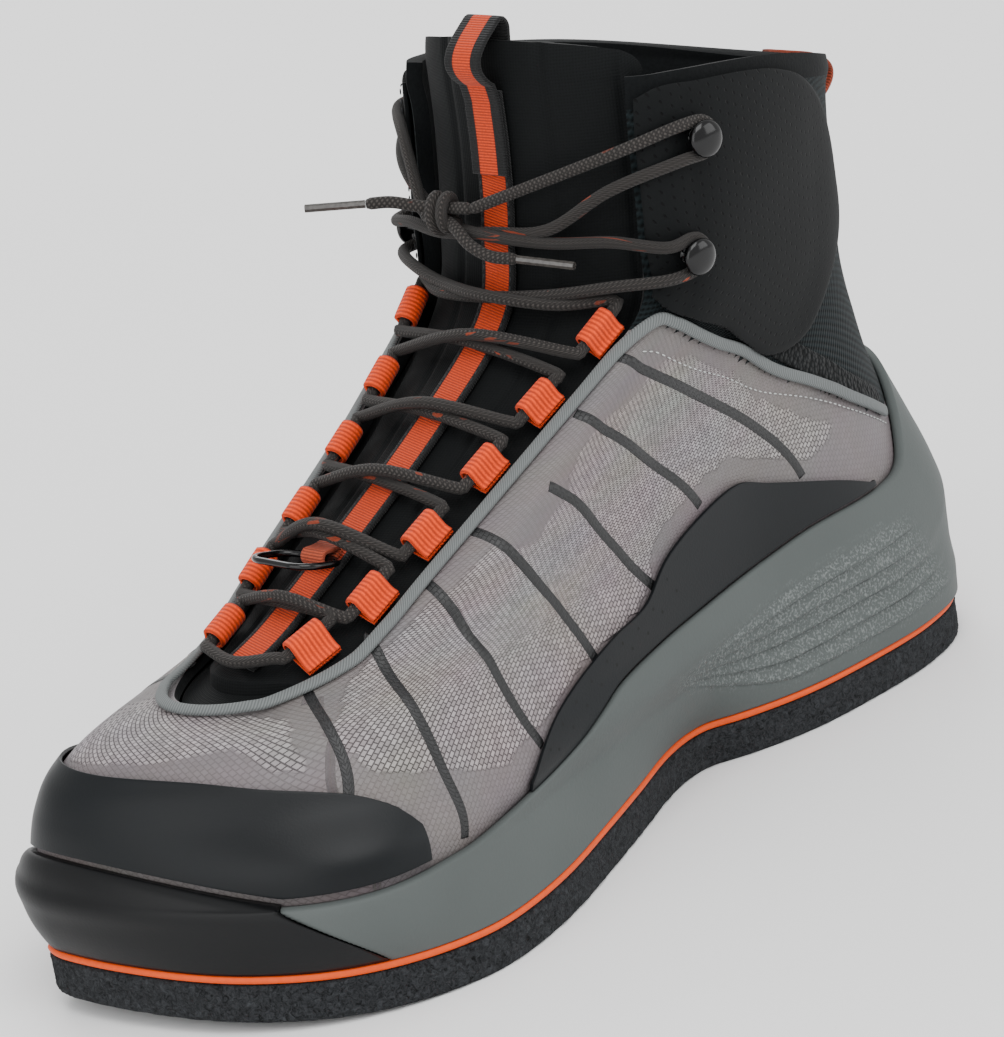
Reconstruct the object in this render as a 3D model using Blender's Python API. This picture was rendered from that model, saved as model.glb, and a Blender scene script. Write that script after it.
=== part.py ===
"""Wading boot for the left foot: felt sole, moulded midsole, laced upper with a padded shaft."""

import math

import bmesh
import bpy
from mathutils import Vector

for old in list(bpy.data.objects):
    bpy.data.objects.remove(old, do_unlink=True)

MM = 0.001

# Driving sizes of the last and the sole
SOLE_LENGTH = 322 * MM
BALL_WIDTH = 120 * MM
COLLAR_HEIGHT = 206 * MM
FEATHER_HEIGHT = 30 * MM
COUNTER_HEIGHT = 90 * MM
HEEL_REACH = 54.5 * MM
TOE_SPRING = 5 * MM
TOE_SWING = 25 * MM
COLLAR_ARCH = 5 * MM

# Layers of the bottom
FELT_THICKNESS = 11 * MM
FELT_EDGE = 1.2 * MM
LINE_THICKNESS = 2.2 * MM
INSOLE_THICKNESS = 4 * MM
MIDSOLE_BULGE = 1.0 * MM
MIDSOLE_FLARE = 2.2
MIDSOLE_WALL = 3.0 * MM
TOE_WALL = 4.5 * MM
BUMPER_WALL = 2.6 * MM
BUMPER_LIP = 10 * MM
LIP_SWELL = 0.9 * MM
GROOVE_WIDTH = 1.9 * MM
GROOVE_DEPTH = 0.9 * MM
GROOVE_COUNT = 5

# Walls and trims of the upper
FOOT_WALL = 2.6 * MM
ANKLE_WALL = 4.5 * MM
TONGUE_THICKNESS = 4.5 * MM
TONGUE_RISE = 10 * MM
TONGUE_SINK = 0.7 * MM
OVERLAY_THICKNESS = 1.0 * MM
BINDING_WIDTH = 3.2 * MM
BINDING_THICKNESS = 1.3 * MM
STRIPE_WIDTH = 12 * MM
STRIPE_THICKNESS = 0.9 * MM
WEB_THICKNESS = 1.3 * MM
HEEL_LOOP_WIDTH = 16 * MM
HEEL_LOOP_STAND = 6 * MM
TONGUE_LOOP_WIDTH = 13 * MM
TONGUE_LOOP_HEIGHT = 24 * MM
TONGUE_LOOP_DEPTH = 8 * MM

# Lacing hardware
LACE = 3.4 * MM
LOOP_LENGTH = 11 * MM
LOOP_WALL = 1.2 * MM
LOOP_RISE = 2.6 * MM
HOOK_BASE_RADIUS = 5.5 * MM
HOOK_BASE_THICKNESS = 0.9 * MM
HOOK_STEM_RADIUS = 2.2 * MM
HOOK_HEAD_RADIUS = 5.2 * MM
HOOK_HEAD_HEIGHT = 2.8 * MM
RING_WIRE = 1.9 * MM
RING_WIDTH = 22 * MM
RING_DEPTH = 16 * MM
RING_CORNER = 6 * MM
RING_TILT = 15
RING_TAB_WIDTH = 8.5 * MM
RING_TAB_TAIL = 5.5 * MM
TAB_ROW = 4
TAB_CLEARING = 1.3
HOOK_LACE_STEP = 1.1
KNOT_LENGTH = 17 * MM
KNOT_HEIGHT = 11 * MM
KNOT_DEPTH = 8 * MM
AGLET_LENGTH = 17 * MM
AGLET_WIDTH = 2.4 * MM

# Clearances
GAP = 0.3 * MM
OVERLAY_GAP = 0.9 * MM
TONGUE_GAP = 1.3 * MM
SEAT_GAP = 0.7 * MM
LACE_GAP = 0.5 * MM
LACE_LEAD = 2.0 * MM
TURN_GAP = 0.35 * MM

# Rings of the last from feather edge to collar.
# Columns: height of the heel end and of the front end, as shares of the way from feather to collar;
# heel end and front end ahead of the sole's back, as shares of the sole's length;
# half widths on the outer and the inner side at STATIONS, as shares of the ball width.
STATIONS = (0.12, 0.35, 0.60, 0.80, 0.92)
RINGS = (
    (0.000, 0.017, 0.020, 0.990, (.312, .322, .392, .500, .467), (.295, .290, .325, .425, .333)),
    (0.070, 0.075, 0.012, 0.986, (.333, .362, .433, .492, .446), (.317, .321, .350, .421, .325)),
    (0.140, 0.130, 0.014, 0.980, (.333, .362, .421, .446, .350), (.317, .321, .342, .392, .300)),
    (0.215, 0.180, 0.022, 0.966, (.321, .354, .408, .412, .300), (.304, .321, .333, .371, .275)),
    (0.285, 0.225, 0.031, 0.933, (.304, .350, .392, .383, .258), (.287, .321, .329, .350, .242)),
    (0.355, 0.270, 0.042, 0.840, (.287, .346, .379, .358, .242), (.271, .321, .329, .325, .233)),
    (0.430, 0.365, 0.053, 0.722, (.267, .342, .362, .375, .308), (.258, .325, .342, .350, .292)),
    (0.520, 0.500, 0.064, 0.576, (.246, .333, .371, .367, .325), (.242, .325, .362, .358, .317)),
    (0.610, 0.625, 0.067, 0.474, (.233, .329, .379, .383, .317), (.233, .329, .379, .383, .317)),
    (0.700, 0.755, 0.065, 0.449, (.233, .333, .392, .400, .333), (.233, .333, .392, .400, .333)),
    (0.775, 0.880, 0.061, 0.439, (.233, .342, .400, .400, .333), (.233, .342, .400, .400, .333)),
    (0.840, 1.000, 0.057, 0.436, (.242, .350, .404, .396, .325), (.242, .350, .404, .396, .325)),
)

# Outline of the sole. Columns: share of the sole's length from the back,
# half width on the outer and on the inner side, as shares of the ball width.
SOLE_OUTLINE = (
    (0.05, .296, .296),
    (0.12, .378, .372),
    (0.20, .389, .376),
    (0.30, .364, .334),
    (0.36, .315, .286),
    (0.40, .269, .258),
    (0.45, .284, .263),
    (0.52, .355, .298),
    (0.60, .435, .359),
    (0.68, .508, .411),
    (0.75, .543, .448),
    (0.82, .539, .442),
    (0.88, .518, .381),
    (0.94, .446, .262),
    (0.98, .299, .125),
)

# Rim of the midsole. Columns: share of the sole's length from the back,
# height as a share of the way from feather to counter.
RIM = (
    (0.00, .98),
    (0.035, .93),
    (0.065, .80),
    (0.09, .64),
    (0.115, .52),
    (0.16, .49),
    (0.26, .49),
    (0.33, .45),
    (0.42, .40),
    (0.48, .37),
    (0.55, .315),
    (0.585, .25),
    (0.62, .185),
    (0.67, .125),
    (0.74, .09),
    (0.82, .075),
    (1.00, .067),
)

# Edge of the throat. Columns: level on the last, half width as a share of the ball width.
VAMP_LEVEL = 0.4545
VAMP_DIP = 0.022
THROAT = (
    (0.44, .190),
    (0.50, .222),
    (0.55, .240),
    (0.60, .262),
    (0.65, .290),
    (0.70, .325),
    (0.74, .348),
    (0.82, .345),
    (0.92, .338),
    (1.00, .342),
)

# Overlays. Columns: place between the heel (0) and the throat's edge or the toe (1),
# lower and upper level on the last.
ANKLE_PANEL = (
    (0.355, .700, .760),
    (0.375, .655, .845),
    (0.42, .603, .915),
    (0.50, .604, .962),
    (0.60, .645, .980),
    (0.71, .684, .985),
    (0.84, .712, .985),
    (0.94, .732, .985),
    (0.985, .748, .975),
)
# Columns: angle in degrees from the heel, upper level. The lower edge follows the midsole's rim.
SIDE_PANEL = (
    (47, .232),
    (53, .275),
    (60, .321),
    (67, .367),
    (74, .412),
    (80, .402),
    (86, .350),
    (90, .275),
    (96, .250),
    (102, .212),
    (107, .165),
    (111, .110),
    (113, .065),
)
# Columns: angle from the toe's tip in degrees, outer side positive, upper level.
TOE_CAP = (
    (-49, .110),
    (-47, .160),
    (-42, .212),
    (-32, .258),
    (-22, .290),
    (-8, .312),
    (10, .310),
    (22, .293),
    (32, .258),
    (42, .212),
    (47, .160),
    (49, .110),
)
# Columns: angle in degrees from the heel, level: the top of the quarter behind the throat.
QUARTER_TOP = (
    (136, .722),
    (128, .714),
    (116, .692),
    (102, .662),
    (88, .629),
    (75, .585),
    (62, .533),
    (53, .482),
    (46, .429),
    (39, .372),
    (34, .330),
)

# Lace loops from the ankle down. Columns: level, then in lace diameters the distance of the middle
# from the throat's edge and the reach of the sewn tail toward it.
LACE_LOOPS = (
    (.705, 1.8, 1.38),
    (.652, 1.8, 1.38),
    (.608, 1.8, 1.38),
    (.566, 2.0, 1.58),
    (.519, 2.15, 1.68),
    (.464, 3.3, 2.1),
)
# Hooks. Columns: distance ahead of the sole's back and height, as shares of length and collar height.
HOOKS = (
    (0.360, .898),
    (0.386, .752),
)
# Lace from the upper end of the ankle's loop, round the lower hook across, and on to the knot.
# Columns: x toward the hook as a share of the ball width, height as a share of the collar's,
# height over the last in lace diameters. A row of zeros stands for a turn round the next hook.
LACE_TO_HOOKS = (
    (-.17, .698, 1.10),
    (0.00, .704, 1.30),
    (0.17, .712, 1.15),
    (0.30, .722, 1.35),
    (0, 0, 0),
    (0.30, .783, 1.35),
    (0.16, .783, 1.20),
    (0.00, .792, 1.00),
    (-.16, .800, 1.20),
    (-.30, .850, 1.45),
    (0, 0, 0),
    (-.30, .896, 1.45),
)
KNOT_PLACE = (-.10, .815, 2.7)


def smooth_read(places, values, x):
    """Value at x on a smooth curve through the values at the places."""
    last = len(places) - 1
    i = 0
    while i < last - 1 and x > places[i + 1]:
        i += 1
    slopes = []
    for k in (i, i + 1):
        a, b = max(k - 1, 0), min(k + 1, last)
        slopes.append((values[b] - values[a]) / (places[b] - places[a]))
    span = places[i + 1] - places[i]
    u = min(max((x - places[i]) / span, 0.0), 1.0)
    rise = 3 * u * u - 2 * u ** 3
    bend = u * (1 - u) ** 2 * slopes[0] - u * u * (1 - u) * slopes[1]
    return values[i] * (1 - rise) + values[i + 1] * rise + span * bend


def solve(miss, low, high):
    """The x between low and high where miss(x), which rises through zero, is zero."""
    for _ in range(40):
        middle = (low + high) / 2
        if miss(middle) < 0:
            low = middle
        else:
            high = middle
    return (low + high) / 2


def swing(y):
    """Shift of the centre line toward the big toe at y."""
    start = HEEL_REACH - 0.775 * SOLE_LENGTH
    u = min(max((start - y) / (0.217 * SOLE_LENGTH), 0.0), 1.0)
    return -TOE_SWING * u ** 1.5


def spring(y):
    """Lift of the sole's underside at y, toward the toe."""
    start = HEEL_REACH - 0.775 * SOLE_LENGTH
    u = min(max((start - y) / (0.224 * SOLE_LENGTH), 0.0), 1.0)
    return TOE_SPRING * u * u


def full_widths(shares, stations):
    """Half widths as the radii of the ellipse that each would belong to."""
    return [w * BALL_WIDTH / (2 * math.sqrt(s * (1 - s))) for s, w in zip(stations, shares)]


STOPS = (0.0,) + STATIONS + (1.0,)
LEVELS = [k / (len(RINGS) - 1) for k in range(len(RINGS))]
UPPER_RISE = COLLAR_HEIGHT - FEATHER_HEIGHT
READINGS = []
for z_heel, z_front, back, front, outer_shares, inner_shares in RINGS:
    ends = [FEATHER_HEIGHT + z_heel * UPPER_RISE, FEATHER_HEIGHT + z_front * UPPER_RISE]
    ends += [HEEL_REACH - back * SOLE_LENGTH, HEEL_REACH - front * SOLE_LENGTH]
    sides = []
    for shares in (outer_shares, inner_shares):
        wide = full_widths(shares, STATIONS)
        sides += [wide[0]] + wide + [wide[-1]]
    READINGS.append(ends + sides)
READINGS = list(zip(*READINGS))
SIDE_COUNT = len(STOPS)


def last_point(phi, level):
    """Point of the last at angle phi, 0 at the heel and pi at the toe, outer side positive."""
    z_heel, z_front, y_heel, y_front = [smooth_read(LEVELS, row, level) for row in READINGS[:4]]
    first = 4 if phi >= 0 else 4 + SIDE_COUNT
    widths = [smooth_read(LEVELS, row, level) for row in READINGS[first:first + SIDE_COUNT]]
    share = (1 - math.cos(phi)) / 2
    y = y_heel + (y_front - y_heel) * share
    z = z_heel + (z_front - z_heel) * share
    z += COLLAR_ARCH * math.sin(math.pi * share) * max((level - 0.8) / 0.2, 0.0) ** 2
    x = smooth_read(STOPS, widths, share) * math.sin(abs(phi))
    return Vector((math.copysign(x, phi) + swing(y) * share, y, z))


def wrapped(phi):
    return (phi + math.pi) % (2 * math.pi) - math.pi


def last_normal(phi, level):
    step = 0.02
    along = last_point(wrapped(phi + step), level) - last_point(wrapped(phi - step), level)
    up = last_point(phi, min(level + step, 1.0)) - last_point(phi, max(level - step, 0.0))
    return up.cross(along).normalized()


def last_out(phi, level):
    """Level direction out of the last."""
    normal = last_normal(wrapped(phi), level)
    normal.z = 0
    return normal.normalized()


def on_last(phi, level, lift=0.0):
    """Point at a height of lift outside the last."""
    phi = wrapped(phi)
    return last_point(phi, level) + lift * last_normal(phi, level)


def locate(pick, wanted, phi, level):
    """Angle and level where the two picked coordinates of the last are the wanted ones."""
    step = 0.002
    for _ in range(30):
        here = last_point(wrapped(phi), level)
        by_phi = (last_point(wrapped(phi + step), level) - here) / step
        by_level = (last_point(wrapped(phi), level + step) - here) / step
        a, b, c, d = by_phi[pick[0]], by_level[pick[0]], by_phi[pick[1]], by_level[pick[1]]
        miss = (wanted[0] - here[pick[0]], wanted[1] - here[pick[1]])
        size = a * d - b * c
        phi += max(min((miss[0] * d - b * miss[1]) / size, 0.2), -0.2)
        level = min(max(level + max(min((a * miss[1] - c * miss[0]) / size, 0.1), -0.1), 0.0), 0.99)
    return phi, level


def on_top(x, y, lift=0.0):
    """Point of the instep over x and y, at a height of lift."""
    phi, level = locate((0, 1), (x, y), math.pi - 0.3, 0.55)
    return on_last(phi, level, lift)


def on_front(x, z, lift=0.0):
    """Point of the shaft's front at x and z, at a height of lift."""
    phi, level = locate((0, 2), (x, z), math.pi - 0.3, 0.82)
    return on_last(phi, level, lift)


def wall(level):
    """Thickness of the upper: thin on the foot, padded round the ankle."""
    u = min(max((level - 0.42) / 0.22, 0.0), 1.0)
    return FOOT_WALL + (ANKLE_WALL - FOOT_WALL) * u * u * (3 - 2 * u)


SOLE_STOPS = [0.0] + [row[0] for row in SOLE_OUTLINE] + [1.0]
OUTER_SOLE = full_widths([row[1] for row in SOLE_OUTLINE], SOLE_STOPS[1:-1])
INNER_SOLE = full_widths([row[2] for row in SOLE_OUTLINE], SOLE_STOPS[1:-1])
OUTER_SOLE = OUTER_SOLE[:1] + OUTER_SOLE + OUTER_SOLE[-1:]
INNER_SOLE = INNER_SOLE[:1] + INNER_SOLE + INNER_SOLE[-1:]


def sole_point(phi, height):
    """Point of the sole's outline at a height above its sprung underside."""
    phi = wrapped(phi)
    share = (1 - math.cos(phi)) / 2
    y = HEEL_REACH - share * SOLE_LENGTH
    x = smooth_read(SOLE_STOPS, OUTER_SOLE if phi >= 0 else INNER_SOLE, share) * math.sin(phi)
    return Vector((x + swing(y) * share, y, height + spring(y)))


def sole_out(phi):
    """Level direction out of the sole at angle phi."""
    along = sole_point(phi + 0.03, 0) - sole_point(phi - 0.03, 0)
    along.z = 0
    return Vector((0, 0, 1)).cross(along).normalized()


RIM_PLACES = [row[0] for row in RIM]
RIM_SHARES = [row[1] for row in RIM]


def rim_height(y):
    share = (HEEL_REACH - y) / SOLE_LENGTH
    rise = smooth_read(RIM_PLACES, RIM_SHARES, min(max(share, 0.0), 1.0))
    return FEATHER_HEIGHT + rise * (COUNTER_HEIGHT - FEATHER_HEIGHT)


def rim_level(phi, above=0.0):
    """Level of the last where it leaves the midsole, or a height above that."""
    phi = wrapped(phi)

    def miss(level):
        point = last_point(phi, level)
        return point.z - rim_height(point.y) - above

    return solve(miss, 0.0, 0.5)


def rim_wall(phi):
    """Thickness of the midsole's edge, more where the bumper is let into it."""
    u = min(max((abs(wrapped(phi)) - 2.0) / 0.5, 0.0), 1.0)
    return MIDSOLE_WALL + (TOE_WALL - MIDSOLE_WALL) * u


def material(name, colour, roughness, metallic=0.0):
    """Principled material in an sRGB colour."""
    made = bpy.data.materials.new(name)
    made.use_nodes = True
    parts = [int(colour[k:k + 2], 16) / 255 for k in (0, 2, 4)]
    linear = [c / 12.92 if c <= 0.04045 else ((c + 0.055) / 1.055) ** 2.4 for c in parts]
    shader = made.node_tree.nodes["Principled BSDF"]
    shader.inputs["Base Color"].default_value = (*linear, 1)
    shader.inputs["Roughness"].default_value = roughness
    shader.inputs["Metallic"].default_value = metallic
    made.diffuse_color = (*linear, 1)
    return made


FELT = material("grey_felt", "2e3033", 0.95)
LINE = material("orange_rubber", "d9561f", 0.6)
FOAM = material("grey_foam", "6f7675", 0.7)
RUBBER = material("black_rubber", "17191b", 0.6)
BOARD = material("insole_foam", "2b2d2f", 0.9)
TEXTILE = material("coated_textile", "8f8788", 0.7)
SOFTSHELL = material("black_softshell", "131416", 0.8)
FILM = material("black_film", "1c2126", 0.55)
BINDING = material("grey_binding", "7d8281", 0.75)
ORANGE_WEB = material("orange_webbing", "e2571a", 0.8)
RUST_WEB = material("rust_webbing", "a8462a", 0.85)
BLACK_WEB = material("black_webbing", "1a1c1e", 0.85)
GLOSS = material("black_enamel", "0c0d0f", 0.15)
CLEAR = material("clear_plastic", "b9bab8", 0.2)
CORD = material("lace_cord", "35322f", 0.8)


def finish(name, mesh_maker, colour, smooth_angle=40):
    """Object from a bmesh, its faces turned out and its round faces shaded smooth."""
    bmesh.ops.remove_doubles(mesh_maker, verts=mesh_maker.verts, dist=0.002 * MM)
    bmesh.ops.recalc_face_normals(mesh_maker, faces=mesh_maker.faces)
    mesh = bpy.data.meshes.new(name)
    mesh_maker.to_mesh(mesh)
    mesh_maker.free()
    mesh.shade_smooth()
    mesh.set_sharp_from_angle(angle=math.radians(smooth_angle))
    mesh.materials.append(colour)
    made = bpy.data.objects.new(name, mesh)
    bpy.context.collection.objects.link(made)
    return made


def sheet(columns, rows, outer, inner, kept=None, closed=False):
    """Closed sheet with an outer and an inner face, over the cells of a grid that are kept."""
    made = bmesh.new()
    corners = {}

    def corner(face, i, j):
        key = (face is inner, i % columns if closed else i, j)
        if key not in corners:
            corners[key] = made.verts.new(face(key[1], j))
        return corners[key]

    edges = set()
    for i in range(columns if closed else columns - 1):
        for j in range(rows - 1):
            if kept and not kept(i, j):
                continue
            ahead = (i + 1) % columns if closed else i + 1
            loop = [(i, j), (ahead, j), (ahead, j + 1), (i, j + 1)]
            made.faces.new([corner(outer, *place) for place in loop])
            made.faces.new([corner(inner, *place) for place in reversed(loop)])
            edges |= {(loop[k], loop[(k + 1) % 4]) for k in range(4)}
    for a, b in sorted(edges):
        if (b, a) not in edges:
            made.faces.new([corner(outer, *b), corner(outer, *a), corner(inner, *a), corner(inner, *b)])
    return made


def loft(rings, caps=True):
    """Closed body through rings of points, whose two halves mirror each other in order."""
    made = bmesh.new()
    count = len(rings[0])
    verts = [[made.verts.new(point) for point in ring] for ring in rings]
    for low, high in zip(verts, verts[1:]):
        for k in range(count):
            made.faces.new([low[k], low[(k + 1) % count], high[(k + 1) % count], high[k]])
    if caps:
        for ring in (verts[0], verts[-1]):
            for k in range(count // 2):
                corners = [ring[k], ring[k + 1], ring[count - k - 1], ring[(count - k) % count]]
                made.faces.new(list(dict.fromkeys(corners)))
    return made


def through(points, parts):
    """Smooth curve through the points, with so many parts between each two."""
    places = list(range(len(points)))
    read = []
    for n in range((len(points) - 1) * parts + 1):
        read.append(Vector([smooth_read(places, [p[k] for p in points], n / parts) for k in range(3)]))
    return read


def evenly(points, spacing):
    """Points at an even spacing along a smooth curve through the given ones."""
    fine = through(points, 12)
    run = [0.0]
    for a, b in zip(fine, fine[1:]):
        run.append(run[-1] + (b - a).length)
    count = max(round(run[-1] / spacing), 2)
    read = []
    k = 0
    for n in range(count + 1):
        goal = run[-1] * n / count
        while k < len(run) - 2 and run[k + 1] < goal:
            k += 1
        read.append(fine[k].lerp(fine[k + 1], (goal - run[k]) / (run[k + 1] - run[k])))
    return read


def ribbon(path, ups, width, low, high, closed=False):
    """Flat strip along a path, its section width by (high - low) standing on the path's ups."""
    made = bmesh.new()
    count = len(path)
    rings = []
    for k in range(count):
        before = path[(k - 1) % count] if closed else path[max(k - 1, 0)]
        after = path[(k + 1) % count] if closed else path[min(k + 1, count - 1)]
        side = (after - before).cross(ups[k]).normalized() * width / 2
        up = side.cross(after - before).normalized()
        up = up if up.dot(ups[k]) > 0 else -up
        ring = [path[k] - side + up * low, path[k] + side + up * low]
        ring += [path[k] + side + up * high, path[k] - side + up * high]
        rings.append([made.verts.new(point) for point in ring])
    pairs = list(zip(rings, rings[1:])) + ([(rings[-1], rings[0])] if closed else [])
    for a, b in pairs:
        for k in range(4):
            made.faces.new([a[k], a[(k + 1) % 4], b[(k + 1) % 4], b[k]])
    if not closed:
        made.faces.new(rings[0])
        made.faces.new(rings[-1])
    return made


def cord(name, points, colour, diameter=LACE, spacing=3.0, roundness=2):
    """Round cord along a smooth curve through the points."""
    curve = bpy.data.curves.new(name, "CURVE")
    curve.dimensions = "3D"
    curve.bevel_depth = diameter / 2
    curve.bevel_resolution = roundness
    curve.use_fill_caps = True
    path = evenly(points, spacing * diameter)
    line = curve.splines.new("POLY")
    line.points.add(len(path) - 1)
    for place, point in zip(line.points, path):
        place.co = (*point, 1)
    curve.materials.append(colour)
    made = bpy.data.objects.new(name, curve)
    bpy.context.collection.objects.link(made)
    return made


def hide_tool(made):
    made.hide_render = True
    made.hide_viewport = False
    made.display_type = "WIRE"


def join(body, tool, how="UNION"):
    """Boolean of a body with a hidden tool."""
    hide_tool(tool)
    step = body.modifiers.new(tool.name, "BOOLEAN")
    step.operation = how
    step.solver = "EXACT"
    step.object = tool


# The bottom: felt, orange line, midsole with its ribs, toe bumper and insole

SOLE_COLUMNS = 64
SOLE_ANGLES = [2 * math.pi * k / SOLE_COLUMNS for k in range(SOLE_COLUMNS)]
LINE_BASE = FELT_THICKNESS + GAP
MIDSOLE_BASE = LINE_BASE + LINE_THICKNESS + GAP


def sole_ring(height, inset=0.0):
    return [sole_point(phi, height) - sole_out(phi) * inset for phi in SOLE_ANGLES]


def build_outsole():
    """Felt slab with softened lower edge, flat under heel and ball."""
    rings = [sole_ring(0, FELT_EDGE), sole_ring(FELT_EDGE), sole_ring(FELT_THICKNESS)]
    return finish("outsole", loft(rings), FELT)


def build_line():
    rings = [sole_ring(LINE_BASE), sole_ring(LINE_BASE + LINE_THICKNESS)]
    return finish("midsole_line", loft(rings), LINE)


def seam_angle(rise):
    """Angle of the bumper's slanting rear seam, at a share of the midsole's height."""
    return math.radians(138 + 12 * min(rise, 1.0))


def midsole_skin(phi, rise, lift=0.0):
    """Side of the midsole at a share of its height: the sole's outline below, the last and a wall above."""
    low = sole_point(phi, MIDSOLE_BASE)
    top_level = rim_level(phi)
    top = last_point(wrapped(phi), top_level)
    height = low.z + (top.z - low.z) * rise
    level = solve(lambda t: last_point(wrapped(phi), t).z - height, 0.0, top_level)
    out = sole_out(phi).lerp(last_out(phi, level), rise)
    high = last_point(wrapped(phi), level) + last_out(phi, level) * rim_wall(phi)
    point = high.lerp(low, (1 - rise) ** MIDSOLE_FLARE)
    point.z = height
    return point + out * (MIDSOLE_BULGE * math.sin(math.pi * rise) + lift)


def floor_point(phi, inset):
    """Point of the midsole's floor, just under the feather edge."""
    edge = last_point(wrapped(phi), 0.0)
    return edge - last_out(phi, 0.0) * inset - Vector((0, 0, GAP))


SKIN_RISES = (0.0, 0.2, 0.4, 0.6, 0.8, 1.0)
BUMPER_COLUMNS = 21


def midsole_columns():
    """Columns as (angle at a rise, depth): the side up to the seam, then the recess for the bumper."""
    columns = []
    for k in range(25):
        columns.append((lambda rise, u=k / 24: u * seam_angle(rise), 0.0))
    depth = BUMPER_WALL + 1.5 * GAP
    toe = 10
    for k in range(toe + 1):
        share = k / toe

        def angle(rise, share=share):
            start = seam_angle(rise) + GAP / (0.4 * SOLE_LENGTH)
            return start + share * (math.pi - start)

        columns.append((angle, depth))
    return columns


def build_midsole():
    """Cup whose rim follows the feather edge, with a recess round the toe."""
    half = midsole_columns()
    mirrored = [(lambda rise, angle=angle: -angle(rise), depth) for angle, depth in half[1:-1]]
    columns = half + mirrored[::-1]
    rings = []
    for rise in SKIN_RISES:
        rings.append([midsole_skin(angle(rise), rise, -depth) for angle, depth in columns])
    top = [(angle(1.0), depth) for angle, depth in columns]
    rings.append([on_last(phi, rim_level(phi), GAP) for phi, depth in top])
    for share in (0.75, 0.5, 0.25, 0.0):
        rings.append([on_last(phi, rim_level(phi) * share, GAP) for phi, depth in top])
    rings.append([floor_point(phi, 2 * MM) for phi, depth in top])
    return finish("midsole", loft(rings), FOAM)


# Lower and upper end of the grooves between the heel's ribs. Columns: angle in degrees from the heel
# and its step from one to the next, share of the midsole's height and its step.
GROOVE_ENDS = ((88, 8, .20, .035), (50, 6, .72, .01))
GROOVE_PARTS = 6


def build_grooves(side):
    """Cutter for the slanting grooves that leave ribs on the midsole's heel quarter."""
    made = bmesh.new()
    for n in range(GROOVE_COUNT):
        path = []
        ups = []
        low, high = GROOVE_ENDS[0], GROOVE_ENDS[1]
        for k in range(GROOVE_PARTS + 1):
            u = k / GROOVE_PARTS
            degrees = (low[0] - low[1] * n) * (1 - u) + (high[0] - high[1] * n) * u
            phi = side * math.radians(degrees)
            rise = (low[2] + low[3] * n) * (1 - u) + (high[2] + high[3] * n) * u
            path.append(midsole_skin(phi, rise))
            ups.append(sole_out(phi))
        strip = ribbon(path, ups, GROOVE_WIDTH, -GROOVE_DEPTH, 2 * GROOVE_DEPTH)
        held = bpy.data.meshes.new("groove")
        strip.to_mesh(held)
        strip.free()
        made.from_mesh(held)
    return finish("groove_tool_%s" % ("outer" if side > 0 else "inner"), made, FOAM)


def lip_height(phi):
    """Height of the bumper's lip above the rim: none at its seams, most at the toe's tip."""
    span = math.pi - seam_angle(1.0)
    u = (math.pi - abs(wrapped(phi))) / span
    return BUMPER_LIP * math.cos(math.pi / 2 * min(max(u, 0.0), 1.0)) + 0.5 * MM


def build_bumper():
    """Rubber shell let into the midsole round the toe, with a rolled lip."""
    columns = BUMPER_COLUMNS
    rows = (0.0, 0.3, 0.6, 0.85, 1.0, 1.5, 2.0)

    def angle(i, rise):
        start = seam_angle(rise) + 2 * GAP / (0.4 * SOLE_LENGTH)
        return start + i / (columns - 1) * 2 * (math.pi - start)

    def outer(i, j):
        rise = rows[j]
        phi = angle(i, rise)
        if rise <= 1:
            return midsole_skin(phi, rise, LIP_SWELL * rise ** 3)
        level = rim_level(phi, lip_height(phi) * (rise - 1))
        return on_last(phi, level, rim_wall(phi) + LIP_SWELL - 1.6 * MM * (rise - 1) ** 2)

    def inner(i, j):
        rise = rows[j]
        phi = angle(i, rise)
        if rise <= 1:
            return midsole_skin(phi, rise, -BUMPER_WALL)
        level = rim_level(phi, lip_height(phi) * (rise - 1))
        return on_last(phi, level, GAP if rise == 2 else 1.2 * MM)

    return finish("toe_bumper", sheet(columns, len(rows), outer, inner), RUBBER)


def build_insole():
    """Footbed inside the upper, on the midsole's floor."""
    reach = FOOT_WALL + SEAT_GAP + 6 * GAP
    rings = []
    for height in (0.0, INSOLE_THICKNESS):
        level = height / (0.075 * UPPER_RISE) / (len(RINGS) - 1)
        ring = []
        for phi in SOLE_ANGLES[::2]:
            edge = last_point(wrapped(phi), level)
            point = edge - last_out(phi, level) * reach
            point.z = last_point(wrapped(phi), 0.0).z + height
            ring.append(point)
        rings.append(ring)
    return finish("insole", loft(rings), BOARD)


# The upper: one hollow shell, open at throat and collar and underneath

SIDE_CELLS = 14
TOE_CELLS = 8
FOOT_LEVELS = (0.0, .045, .09, .16, .24, .32, .39, VAMP_LEVEL)
SHAFT_LEVELS = (.485, .53, .58, .63, .68, .725, .77, .83, .89, .95, 1.0)
THROAT_PLACES = [row[0] for row in THROAT]
THROAT_WIDTHS = [row[1] * BALL_WIDTH for row in THROAT]


def throat_edge(level, side=1):
    """Angle of the throat's edge at a level."""
    half = smooth_read(THROAT_PLACES, THROAT_WIDTHS, max(level, THROAT_PLACES[0]))

    def miss(phi):
        point = last_point(side * phi, level)
        share = (1 - math.cos(phi)) / 2
        return half - side * (point.x - swing(point.y) * share)

    return solve(miss, math.radians(110), math.radians(179))


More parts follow.
